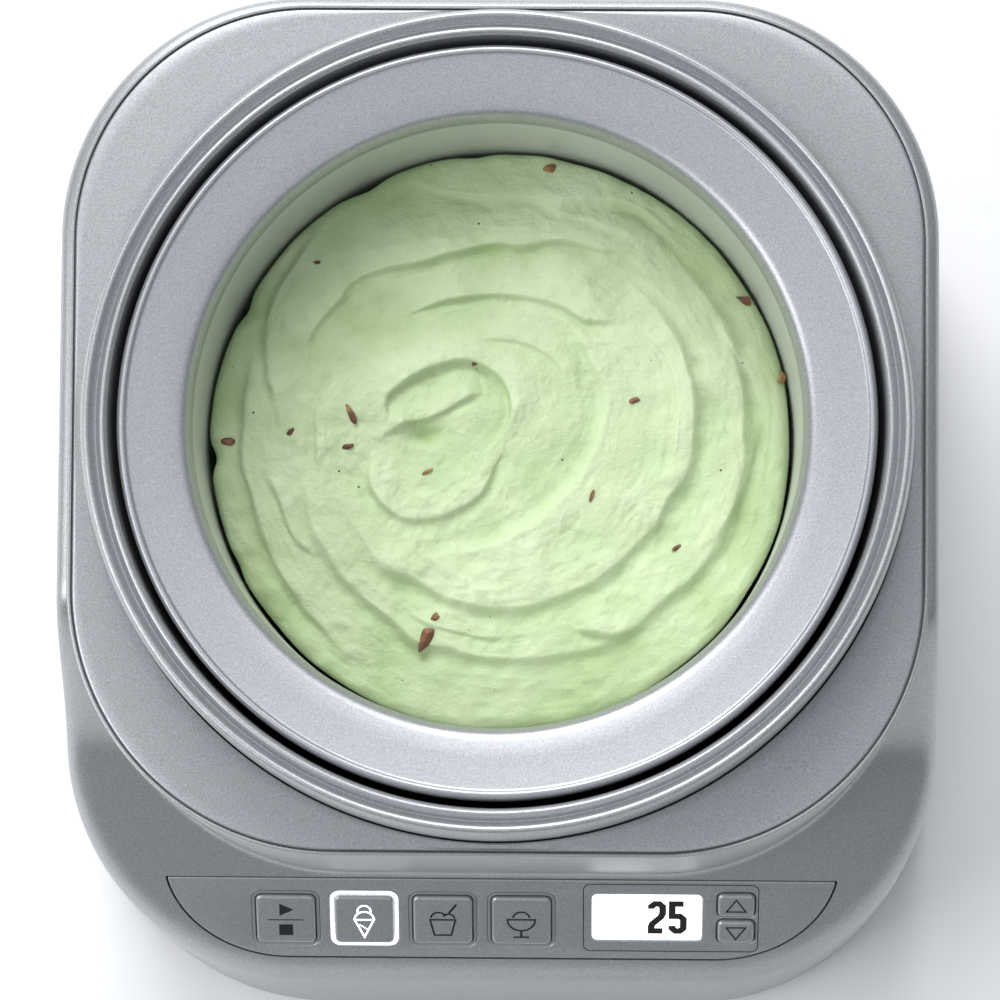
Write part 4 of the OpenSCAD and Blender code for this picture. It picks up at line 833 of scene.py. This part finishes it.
class PaintSettings(bpy.types.PropertyGroup):
    """Colours of the painted parts."""
    dark: colour("Dark flakes", "Darkest tone in the silver paint", "8A8D90")
    light: colour("Light flakes", "Lightest tone in the silver paint", "CDD0D3")
    bowl_dark: colour("Bowl, dark flakes", "Darkest tone on the freezer bowl", "8B8D91")
    bowl_light: colour("Bowl, light flakes", "Lightest tone on the freezer bowl", "C8CACE")
    panel_dark: colour("Panel, dark flakes", "Darkest tone on the panel and keys", "8E9194")
    panel_light: colour("Panel, light flakes", "Lightest tone on the panel and keys", "CCCFD2")
    grain: bpy.props.FloatProperty(
        name="Grain", description="Spread between dark and light flakes; smaller is stronger", default=0.3, min=0.05,
        max=0.5)
    metallic: bpy.props.FloatProperty(
        name="Metallic", description="How metallic the silver paint is", default=0.75, min=0, max=1)
    roughness: bpy.props.FloatProperty(
        name="Roughness", description="Roughness of the silver paint", default=0.42, min=0, max=1)


class CreamSettings(bpy.types.PropertyGroup):
    """The ice cream."""
    swirl: bpy.props.FloatProperty(name="Swirl", description="Height of the swirls", default=1.0, min=0, max=1.2)
    light: colour("Light green", "Colour of the ridges", "CCDDB6")
    # The deep green is painted shade, laid into the hollows of the swirls.
    deep: colour("Deep green", "Colour of the hollows", "AFC690")
    fleck: colour("Flecks", "Colour of the tiny flecks", "4A4A32")
    nut_dark: colour("Nut, dark", "Darkest nut skin", "38201A")
    nut_brown: colour("Nut, brown", "Brown nut skin", "68402A")
    nut_tan: colour("Nut, tan", "Toasted nut flesh", "9C7A48")


class PanelSettings(bpy.types.PropertyGroup):
    """The control panel's display."""
    display: colour("Display", "Colour of the backlit display", "FFFFFF")
    display_light: bpy.props.FloatProperty(
        name="Display light", description="Brightness of the display", default=0.9, min=0, max=3)


class StageSettings(bpy.types.PropertyGroup):
    """Camera, floor and light."""
    focal: bpy.props.FloatProperty(
        name="Focal length", description="Camera focal length in millimetres, on a 36 mm sensor", default=186.877)
    above: length("Camera height", "Height of the camera above the table", 1456.46, high=10.0)
    before: length("Camera in front", "How far the camera stands in front of the bowl's axis", 167.45)
    beside: length("Camera beside", "How far the camera stands to the right of the bowl's axis", 25.94)
    turn: bpy.props.FloatVectorProperty(
        name="Camera turn", description="Camera rotation", size=3, subtype="EULER",
        default=(math.radians(6.79793), math.radians(1.09498), math.radians(0.49659)))
    floor: colour("Floor", "Colour of the table", "F4F4F4")


# ---------------------------------------------------------------------------
# Operators
# ---------------------------------------------------------------------------


class ICM_OT_housing(bpy.types.Operator):
    """Make the silver body shell, with its deck, tower and panel opening"""
    bl_idname = "icm.housing"
    bl_label = "Housing"

    def execute(self, context):
        p = context.scene.icm_housing
        shape = Surface(p)
        rows = shape.sections() * MM
        n_rows, n_columns = rows.shape[:2]
        body = shaped_grid("housing", n_columns, n_rows, lambda u, v: rows[v % n_rows, u % n_columns])
        cut(body, plate("opening", [panel_outline(p.seam / MM + 0.15)], -6, 9, panel_matrix()))
        cut(body, rod("inlet", 6.5, -14, 14, matrix=mount_matrix("cord_inlet"), sides=48))
        bosses = []
        for side in (-1, 1):
            for end, corner in ((-1, p.foot_front), (1, p.foot_back)):
                out = corner / MM - (corner / MM - 6.7) * math.sqrt(0.5)
                bosses.append(rod("boss", 4.5, shape.foot_z + 3, shape.foot_z + 25, side * (shape.half - out),
                                  end * (shape.back - out)))
        body = join("silver_housing", [body, *bosses])
        finish_piece(body, "silver_housing", "base", silver("body"), ["outer_housing"], 38)
        return {"FINISHED"}


class ICM_OT_cover(bpy.types.Operator):
    """Make the top cover round the lid collar"""
    bl_idname = "icm.cover"
    bl_label = "Top cover"

    def execute(self, context):
        p = context.scene.icm_housing
        shape = Surface(p)
        n = 360
        t = np.radians(np.arange(n) * 360 / n)
        ray = np.c_[np.cos(t), np.sin(t)]
        axis = np.array([0, shape.bowl_y])
        inner_r = shape.collar_r + 0.35
        half, front, back, front_r, back_r = shape.inset((p.rim_width + p.seam) / MM)
        ends = np.zeros((n, 2))
        for i, d in enumerate(ray):
            near, far = inner_r - 5, 200.0
            for _ in range(40):
                middle_r = (near + far) / 2
                x, y = axis + d * middle_r
                r = front_r if y < front + front_r else back_r
                cx, cy = max(abs(x) - (half - r), 0), max(front + r - y, y - (back - r), 0)
                outside = abs(x) > half or y < front or y > back or (cx > 0 and cy > 0 and math.hypot(cx, cy) > r)
                near, far = (near, middle_r) if outside else (middle_r, far)
            ends[i] = axis + d * near
        starts = axis + ray * inner_r
        reach = np.linalg.norm(ends - starts, axis=1)
        rows = []
        for part, inset, drop in ((0, 0, 2.2), (0, 0, 0.45), (0, 0.15, 0.12), (0, 0.5, 0), (0.2, 0, 0), (0.4, 0, 0),
                                  (0.6, 0, 0), (0.8, 0, 0), (1, -0.75, 0), (1, -0.45, 0.1), (1, -0.18, 0.3),
                                  (1, -0.04, 0.6), (1, 0, 1.0), (1, 0, 2.2)):
            along = np.clip(reach * part + inset, 0, reach)
            xy = starts + ray * along[:, None]
            rows.append(np.c_[xy, shape.cover(xy[:, 1]) - drop])
        rows = np.array(rows) * MM
        piece = shaped_grid("cover", n, len(rows), lambda u, v: rows[v % len(rows), u % n])
        finish_piece(piece, "silver_top_cover", "base", silver("cover"), ["top_cover"], 40)
        return {"FINISHED"}


class ICM_OT_collar(bpy.types.Operator):
    """Make the lid collar and the well below it, one moulding with its screw legs"""
    bl_idname = "icm.collar"
    bl_label = "Lid collar and well"

    def execute(self, context):
        r, top = COLLAR_R / MM, TOP_Z / MM
        mouth = BOWL_R / MM + 1.9
        low = mouth - 3.3
        floor = SHELL_LOW.z / MM - 6
        # Under the well's floor, up its outside, down and up the collar's skirt, over the collar's two ridges with the
        # groove between them, and down the well's inside.
        profile = rounded([
            (12, floor - 2.5), (low - 2.6, floor - 2.5, 2), (low + 2.6, floor + 2.7, 3), (mouth + 2.4, top - 6, 0.6),
            (r - 2.3, top - 4.8, 0.6), (r - 2.3, top - 29), (r, top - 29), (r, top - 2.4, 1.6),
            (r - 0.9, top - 0.3, 0.8), (r - 1.6, top, 0.7), (r - 2.4, top - 0.4, 0.6), (r - 3.0, top - 2.2, 0.8),
            (r - 3.7, top - 2.9, 0.6),
            (r - 4.3, top - 2.2, 0.8), (r - 4.9, top - 0.9, 0.8), (r - 5.7, top - 0.7, 0.6),
            (r - 6.6, top - 1.6, 0.9), (mouth, top - 4), (low, floor + 4, 3), (low - 4, floor, 3), (12, floor)], 6)
        well = spun("well", profile, 240)
        pan_top = HOUSING_LOW.z / MM + 3
        legs = []
        plate_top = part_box("gearbox_top_plate")[1].z / MM
        for name, thick, foot, reach, turns in (("leg", 5, pan_top, low - 5.6, (340, 28, 100, 165, 230)),
                                                ("mount", 4, plate_top, 36, (75, 195, 315))):
            for t in map(math.radians, turns):
                legs.append(rod(name, thick, foot, floor - 1, reach * math.cos(t), BOWL_Y / MM + reach * math.sin(t)))
        well = join("well", [well, *legs])
        finish_piece(well, "silver_collar_and_well", "base", silver("collar"), ["bowl_well"], 50)
        return {"FINISHED"}


class ICM_OT_bowl(bpy.types.Operator):
    """Make the freezer bowl: the double wall's outside and its aluminium cup"""
    bl_idname = "icm.bowl"
    bl_label = "Freezer bowl"

    def execute(self, context):
        rim, top, foot = BOWL_R / MM, SHELL_HIGH.z / MM, SHELL_LOW.z / MM
        mouth = LINER_HIGH.x / MM - 1.5
        liner_top, cup = LINER_HIGH.z / MM, LINER_LOW.z / MM + 1.3
        side = rim - 2
        # Up the bowl's outside, over its rim, down to the cup's lip, and down the inside of the outer wall.
        profile = rounded([
            (side - 6, foot), (side - 3, foot + 0.6, 1), (side - 2, foot + 3, 1.5), (side, top - 12, 1),
            (rim, top - 8, 1.2), (rim, top - 1.2, 0.9), (rim - 0.9, top - 0.05, 0.7), (rim - 1.7, top - 0.1, 0.5),
            (rim - 2.3, top - 0.75, 0.5), (mouth + 6, top - 2.2, 3), (mouth + 1.6, top - 3.2, 3),
            (mouth + 0.3, top - 7, 2), (mouth + 0.2, liner_top + 0.1), (mouth + 2.6, liner_top + 0.1),
            (mouth + 3, top - 6.6, 1), (side - 2.5, top - 4.6), (side - 2.5, top - 12), (side - 4.5, foot + 3.2),
            (side - 6, foot + 3.2)], 8)
        shell = spun("shell", profile, 240)
        finish_piece(shell, "freezer_bowl_shell", "freezer_bowl", silver("bowl"), ["bowl_shell"], 50)
        inner = mouth - 4
        # From the axis under the cup's floor, up its outside, over the lip and down its inside.
        profile = rounded([
            (0, cup - 1.3), (inner - 7, cup - 1.3, 2), (inner - 0.2, cup + 1.5, 2), (inner + 1.3, cup + 8, 2),
            (mouth + 1.5, liner_top), (mouth + 0.2, liner_top, 0.3), (inner, cup + 8, 2), (inner - 2, cup + 3, 2),
            (inner - 7, cup, 2), (0, cup)], 6)
        liner = spun("liner", profile, 200, closed=False)
        metal = spun_metal("satin spun aluminium", "C9CBCC", "DEDFE0", 0.42, 0.7, 0.01, 0.7)
        finish_piece(liner, "aluminium_cup", "freezer_bowl", metal, ["bowl_liner"], 50)
        return {"FINISHED"}


class ICM_OT_ice_cream(bpy.types.Operator):
    """Make the pistachio ice cream, spread in swirls, and the nut pieces in it"""
    bl_idname = "icm.ice_cream"
    bl_label = "Ice cream"

    def execute(self, context):
        p = context.scene.icm_cream
        low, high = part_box("ice_cream")
        level = high.z / MM - 5.0
        radius = (high.x - low.x) / 2 / MM + 0.15
        floor = low.z / MM
        around, rings, sides = 420, 200, 8
        angles = np.arange(around) * 2 * math.pi / around

        def edge(t):
            ragged = 0.35 * lumps(20 * np.cos(t), 20 * np.sin(t), 3.4, 31)
            for where, deep, wide in ((184, 1.5, 2.5), (153, 1.0, 2.5), (118, 1.1, 4.0), (206, 0.7, 3), (96, 0.6, 3)):
                off = (np.degrees(t) - where + 180) % 360 - 180
                ragged = ragged - deep * np.exp(-(off / wide) ** 2)
            return radius - 0.25 + np.minimum(ragged, 0.25)

        def place(u, v):
            t = angles[u % around]
            outer = edge(t)
            part = np.clip(v / rings, 0, 1)
            r = outer * part ** 0.85
            x, y = r * np.cos(t), r * np.sin(t)
            z = level + p.swirl * cream_height(x, y)
            rim = np.clip((r - (outer - 3.2)) / 3.2, 0, 1)
            z = z - 1.1 * (r / radius) ** 4 - 2.4 * (1 - np.sqrt(np.maximum(1 - rim ** 2, 0)))
            z = np.clip(z, level - 8.0, level + 5.4)
            below = np.clip((v - rings) / sides, 0, 1)
            deep = z + (floor + 9 - z) * below
            wall = outer - below * (3.6 * (z - floor) / (level - floor)) * 0.95
            x = np.where(v > rings, wall * np.cos(t), x)
            y = np.where(v > rings, wall * np.sin(t), y)
            end = v > rings + sides
            x, y = np.where(end, 0, x), np.where(end, 0, y)
            z = np.where(v > rings, deep, z)
            z = np.where(end, floor + 1, z)
            return np.c_[x * MM, y * MM + BOWL_Y, z * MM]

        cream = shaped_grid("cream", around, rings + sides + 1, place)
        height = np.array([v.co.z for v in cream.data.vertices]) / MM
        # Painted shade: how low each point lies, which darkens the cream towards the deep green in its hollows.
        hollow = np.clip(0.62 - (height - level) / 7.5, 0, 1)
        shade = cream.data.attributes.new("hollow", "FLOAT", "POINT")
        shade.data.foreach_set("value", hollow.astype(np.float32))
        finish = ice_cream_finish("pistachio ice cream", p.light, p.deep, p.fleck)
        finish_piece(cream, "pistachio_ice_cream", "dessert", finish, ["ice_cream"], 70)
        chips = []
        for i, (cx, cy, length_mm, wide, turn) in enumerate(NUTS):
            z = level + p.swirl * float(cream_height(np.array([cx]), np.array([cy]))[0]) + 0.1
            z -= 1.1 * (math.hypot(cx, cy) / radius) ** 4
            chips.append(self.chip(i, cx, cy, z, length_mm, wide, turn))
        finish_piece(join("nuts", chips), "pistachio_nut_pieces", "dessert", self.nut_finish(p),
                     [], 25)
        return {"FINISHED"}

    @staticmethod
    def chip(i, x, y, z, length_mm, wide, turn):
        """One broken nut piece, pressed into the surface."""
        clear_selection()
        bpy.ops.mesh.primitive_ico_sphere_add(subdivisions=3, radius=1)
        obj = bpy.context.object
        rng = np.random.default_rng(50 + i)
        co = np.array([v.co for v in obj.data.vertices])
        for _ in range(7):
            d = rng.normal(size=3)
            d /= np.linalg.norm(d)
            over = co @ d - rng.uniform(0.45, 0.75)
            co = co - np.maximum(over, 0)[:, None] * d
        co = co * np.array([length_mm / 2, wide / 2, wide / 2.4]) * 1.25
        t = math.radians(turn)
        turned = np.c_[co[:, 0] * math.cos(t) - co[:, 1] * math.sin(t),
                       co[:, 0] * math.sin(t) + co[:, 1] * math.cos(t), co[:, 2]]
        place = (turned + [x, y, z]) * MM + [0, BOWL_Y, 0]
        obj.data.vertices.foreach_set("co", place.astype(np.float32).ravel())
        obj.data.update()
        return obj

    @staticmethod
    def nut_finish(p):
        """Roasted pistachio: dark and brown papery skin over tan flesh, in patches larger than one piece, so that the
        pieces differ."""
        material, tree, shader = new_material("roasted pistachio pieces")
        set_inputs(shader, Roughness=0.5, Subsurface_Weight=0.1, Subsurface_Scale=0.001)
        place = add_node(tree, "ShaderNodeTexCoord")
        patch = add_node(tree, "ShaderNodeTexNoise", {"Vector": (place, "Object")}, Scale=1 / (9 * MM), Detail=4.0)
        ramp = add_node(tree, "ShaderNodeValToRGB", {"Fac": (patch, "Fac")}, ("Color", shader, "Base Color"))
        stops = ((0.3, p.nut_dark), (0.48, p.nut_brown), (0.62, p.nut_tan))
        ramp.color_ramp.elements.new(0.5)
        for element, (where, tone) in zip(ramp.color_ramp.elements, stops):
            element.position = where
            element.color = linear(tone)
        return material


def panel_outline(grow):
    """The control panel's outline on its face, in millimetres from the display's middle line: straight top, large
    lower corners and small round tips."""
    up, low, r, arc = 12.1 + grow, -13.5 - grow, 31.5 + grow, 55.5
    centre = -13.5 + 31.5
    tip = arc + math.sqrt(r * r - (up - centre) ** 2)
    lower = math.degrees(math.acos(min((centre - up) / r, 1)))
    right = ring_points(arc, centre, r, -90, -90 + lower - 3, 28)
    left = [(-x, y) for x, y in reversed(right)]
    corner = rounded([right[-1], (tip, up, 1.6), (tip - 12, up)], 6)[1:-1]
    mirrored = [(-x, y) for x, y in reversed(corner)]
    return [*left, *right, *[tuple(c) for c in corner], *[tuple(c) for c in mirrored]]


KEYS = ("start_stop", "ice_cream", "gelato", "sorbet", "time_up", "time_down")
SMALL_KEYS = ("time_up", "time_down")
LIT_KEY = "ice_cream"


class ICM_OT_control_panel(bpy.types.Operator):
    """Make the control panel's face, its display and the light guides round the keys"""
    bl_idname = "icm.control_panel"
    bl_label = "Control panel"

    def execute(self, context):
        p = context.scene.icm_panel
        m = panel_matrix()
        window_x = WINDOW.x / MM
        holes = [round_loop(*key_place(kind + "_key"), *(SMALL_HOLE if kind in SMALL_KEYS else KEY_HOLE))
                 for kind in KEYS]
        window = round_loop(window_x, 0, 28.6, 15, 1.5)
        face = plate("face", [panel_outline(0), *holes, window], -2, 0, m, 0.35, 3)
        posts = [rod("post", 2.8, -11, -1.5, side * 71, -0.5, m) for side in (-1, 1)]
        face = join("face", [face, *posts])
        finish_piece(face, "silver_control_panel", "base", silver("panel"), ["control_panel"], 40)
        # Printed ink lies unevenly on a painted face, so it is a little mottled and rough.
        black = grained("black screen-printed ink", "131417", "1C1D21", 0.6, 0.004, Roughness=0.45)
        frame_x = window_x + 6.2
        outer = round_loop(frame_x, 0, 45.6, 22, 2.0)
        inner = round_loop(frame_x, 0, 45.1, 21.5, 1.75)
        lines = plate("lines", [outer, inner], 0.0, INK, m)
        finish_piece(lines, "display_frame_line", "base", black, [])
        sunk, stroke = -0.3, 1.75  # the window's face below the panel's, and the width of a figure's lines
        glass = plate("glass", [round_loop(window_x, 0, 28.5, 14.9, 1.4)], -2, sunk, m, 0.1)
        display = glowing("backlit white display behind clear acrylic", p.display, p.display_light)
        finish_piece(glass, "display_window_glass", "base", display, ["display_window"])
        figures = []
        for figure, x in ((2, 2.6), (5, 8.0)):
            loops = ribbon(display_figure(figure, window_x + x, 0, 4.7, 10.6, stroke), stroke)
            figures.append(plate("figure", loops, sunk, sunk + INK, m))
        finish_piece(join("figures", figures), "display_figures", "base", black, [])
        unlit, lit = [], []
        for kind in KEYS:
            if kind in SMALL_KEYS:
                continue
            x, y = key_place(kind + "_key")
            ring = plate("guide", [round_loop(x, y, 17.5, 17.5, 2.55), round_loop(x, y, 16.0, 16.0, 1.9)], -2,
                         -0.03, m, 0.05)
            (lit if kind == LIT_KEY else unlit).append(ring)
        # Unlit, a clear guide shows the silver mask printed under it, so it takes the panel's tone.
        grey = grained("clear acrylic over a silver mask, unlit", "8C8F92", "A2A5A8", 0.42, 0.006, Roughness=0.4,
                       Metallic=0.4)
        finish_piece(join("guides", unlit), "key_light_guides_unlit", "base", grey,
                     ["key_light_guides"])
        white = glowing("clear acrylic, lit white", "FFFFFF", 1.3)
        finish_piece(lit[0], "key_light_guide_lit", "base", white, [])
        return {"FINISHED"}


class ICM_OT_keys(bpy.types.Operator):
    """Make the six keys, each with its flange, its stem and its symbol"""
    bl_idname = "icm.keys"
    bl_label = "Keys"

    def execute(self, context):
        m = panel_matrix()
        ink = grained("black pad-printed ink", "141518", "1D1E22", 0.6, 0.004, Roughness=0.45)
        white = glowing("lit white key symbol", "FFFFFF", 1.2)
        for kind in KEYS:
            node, body = kind + "_key", kind + "_button"
            x, y = key_place(node)
            size, flange, bevel = (SMALL_CAP, (11.6, 7.4), 1.0) if kind in SMALL_KEYS else (KEY_CAP, (19.0, 19.0), 0.85)
            cap = plate("cap", [round_loop(x, y, *size, 1.6)], -2.8, KEY_PROUD, m, bevel, 4)
            base = plate("flange", [round_loop(x, y, *flange, 1.4)], -3, -2.3, m)
            stem = rod("stem", 1.6, -6.1, -2.8, x, y, m)
            key = join(node, [cap, base, stem])
            finish_piece(key, "silver_" + node, body, silver("key"), [node], 50)
            marks = []
            for loops in key_symbol(kind):
                placed = [[(x + a, y + b) for a, b in loop] for loop in loops]
                marks.append(plate("mark", placed, KEY_PROUD, KEY_PROUD + INK, m))
            finish_piece(join("marks", marks), node + "_symbol", body, white if kind == LIT_KEY else ink,
                         [])
        return {"FINISHED"}


class ICM_OT_inside(bpy.types.Operator):
    """Give the mechanical pieces their materials"""
    bl_idname = "icm.inside"
    bl_label = "Inside"

    def execute(self, context):
        slots = {part["node"]: part["material_slot"] for part in frame["record"]["subparts"]}
        made = {}
        for name, node in frame["nodes"].items():
            slot = slots[name]
            if slot not in FINISHES:
                dress(node, silver("body"))
                continue
            if slot not in made:
                title, tone, other, size, bump, roughness, metal = FINISHES[slot]
                made[slot] = grained(title, tone, other, size, bump, Roughness=roughness, Metallic=metal)
            dress(node, made[slot])
        return {"FINISHED"}


class ICM_OT_stage(bpy.types.Operator):
    """Set the table, the lights and the camera"""
    bl_idname = "icm.stage"
    bl_label = "Stage"

    def execute(self, context):
        p = context.scene.icm_stage
        scene = context.scene
        clear_selection()
        bpy.ops.mesh.primitive_plane_add(size=6)
        floor = context.object
        floor.name = "table"
        # Matt paint spreads the light evenly, and the roller leaves a shallow texture.
        dress(floor, grained("matt white painted table", p.floor, p.floor, 4.0, 0.02, Roughness=0.9))
        camera = bpy.data.objects.new("camera", bpy.data.cameras.new("camera"))
        camera.data.lens = p.focal
        camera.data.sensor_width = 36
        camera.data.clip_end = 20
        camera.location = (p.beside, BOWL_Y - p.before, p.above)
        camera.rotation_euler = p.turn
        scene.collection.objects.link(camera)
        scene.camera = camera
        self.light("softbox_back", (-0.22, 1.05, 1.05), 1.1, 23)
        self.light("softbox_left", (-1.0, -0.35, 0.95), 0.8, 9)
        self.light("fill_front", (0.5, -1.0, 1.3), 0.9, 1.5)
        world = bpy.data.worlds.new("studio")
        world.use_nodes = True
        tree = world.node_tree
        place = add_node(tree, "ShaderNodeTexCoord")
        parts = add_node(tree, "ShaderNodeSeparateXYZ", {"Vector": (place, "Generated")})
        # A studio's soft surroundings: dark near the floor, light above, so that the silver has both to mirror.
        fade = add_node(tree, "ShaderNodeMapRange", {"Value": (parts, "Z")}, From_Min=0.05, From_Max=0.75)
        back = tree.nodes["Background"]
        back.inputs["Strength"].default_value = 0.68
        add_node(tree, "ShaderNodeMix", {"Factor": (fade, "Result"), 6: linear("3C4046"), 7: linear("E4E8EE")},
                 (2, back, "Color"), data_type="RGBA")
        scene.world = world
        scene.view_settings.view_transform = "Standard"
        return {"FINISHED"}

    @staticmethod
    def light(name, place, wide, power):
        """One square softbox that looks at the bowl, its width in metres and its power in watts."""
        data = bpy.data.lights.new(name, "AREA")
        data.shape, data.size, data.energy = "SQUARE", wide, power
        lamp = bpy.data.objects.new(name, data)
        lamp.location = place
        look = Vector((0, BOWL_Y, TOP_Z)) - Vector(place)
        lamp.rotation_euler = look.to_track_quat("-Z", "Y").to_euler()
        bpy.context.scene.collection.objects.link(lamp)


SILVER = {}


def silver(part):
    """The silver paint of one part, made once. The parts were moulded and painted apart, so they differ a little."""
    if part not in SILVER:
        p = bpy.context.scene.icm_paint
        dark, light = {"bowl": (p.bowl_dark, p.bowl_light), "panel": (p.panel_dark, p.panel_light),
                       "key": (p.panel_dark, p.panel_light)}.get(part, (p.dark, p.light))
        SILVER[part] = silver_paint("silver metallic paint, " + part, dark, light, p.grain, p.roughness, p.metallic,
                                    0.42, 0.015)
    return SILVER[part]


class ICM_PT_panel(bpy.types.Panel):
    """The ice cream maker's pieces and sizes"""
    bl_idname = "ICM_PT_panel"
    bl_label = "Ice Cream Maker"
    bl_space_type = "VIEW_3D"
    bl_region_type = "UI"
    bl_category = "Ice Cream Maker"

    def draw(self, context):
        scene = context.scene
        for name, group in (("Housing", scene.icm_housing), ("Paint", scene.icm_paint), ("Ice cream", scene.icm_cream),
                            ("Control panel", scene.icm_panel), ("Stage", scene.icm_stage)):
            box = self.layout.box()
            box.label(text=name)
            for key in group.__annotations__:
                box.prop(group, key)
        for operator in OPERATORS:
            self.layout.operator(operator.bl_idname)


GROUPS = {"icm_housing": HousingSettings, "icm_paint": PaintSettings, "icm_cream": CreamSettings,
          "icm_panel": PanelSettings, "icm_stage": StageSettings}
OPERATORS = (ICM_OT_inside, ICM_OT_housing, ICM_OT_cover, ICM_OT_collar, ICM_OT_bowl, ICM_OT_ice_cream,
             ICM_OT_control_panel, ICM_OT_keys, ICM_OT_stage)


def register():
    """Registers the settings, the operators and the panel."""
    for name, group in GROUPS.items():
        bpy.utils.register_class(group)
        setattr(bpy.types.Scene, name, bpy.props.PointerProperty(type=group))
    for operator in (*OPERATORS, ICM_PT_panel):
        bpy.utils.register_class(operator)


def unregister():
    """Undoes register."""
    for operator in reversed((*OPERATORS, ICM_PT_panel)):
        bpy.utils.unregister_class(operator)
    for name, group in reversed(list(GROUPS.items())):
        delattr(bpy.types.Scene, name)
        bpy.utils.unregister_class(group)


def main():
    register()
    for operator in OPERATORS:
        group, name = operator.bl_idname.split(".")
        getattr(getattr(bpy.ops, group), name)()


if __name__ == "__main__":
    main()
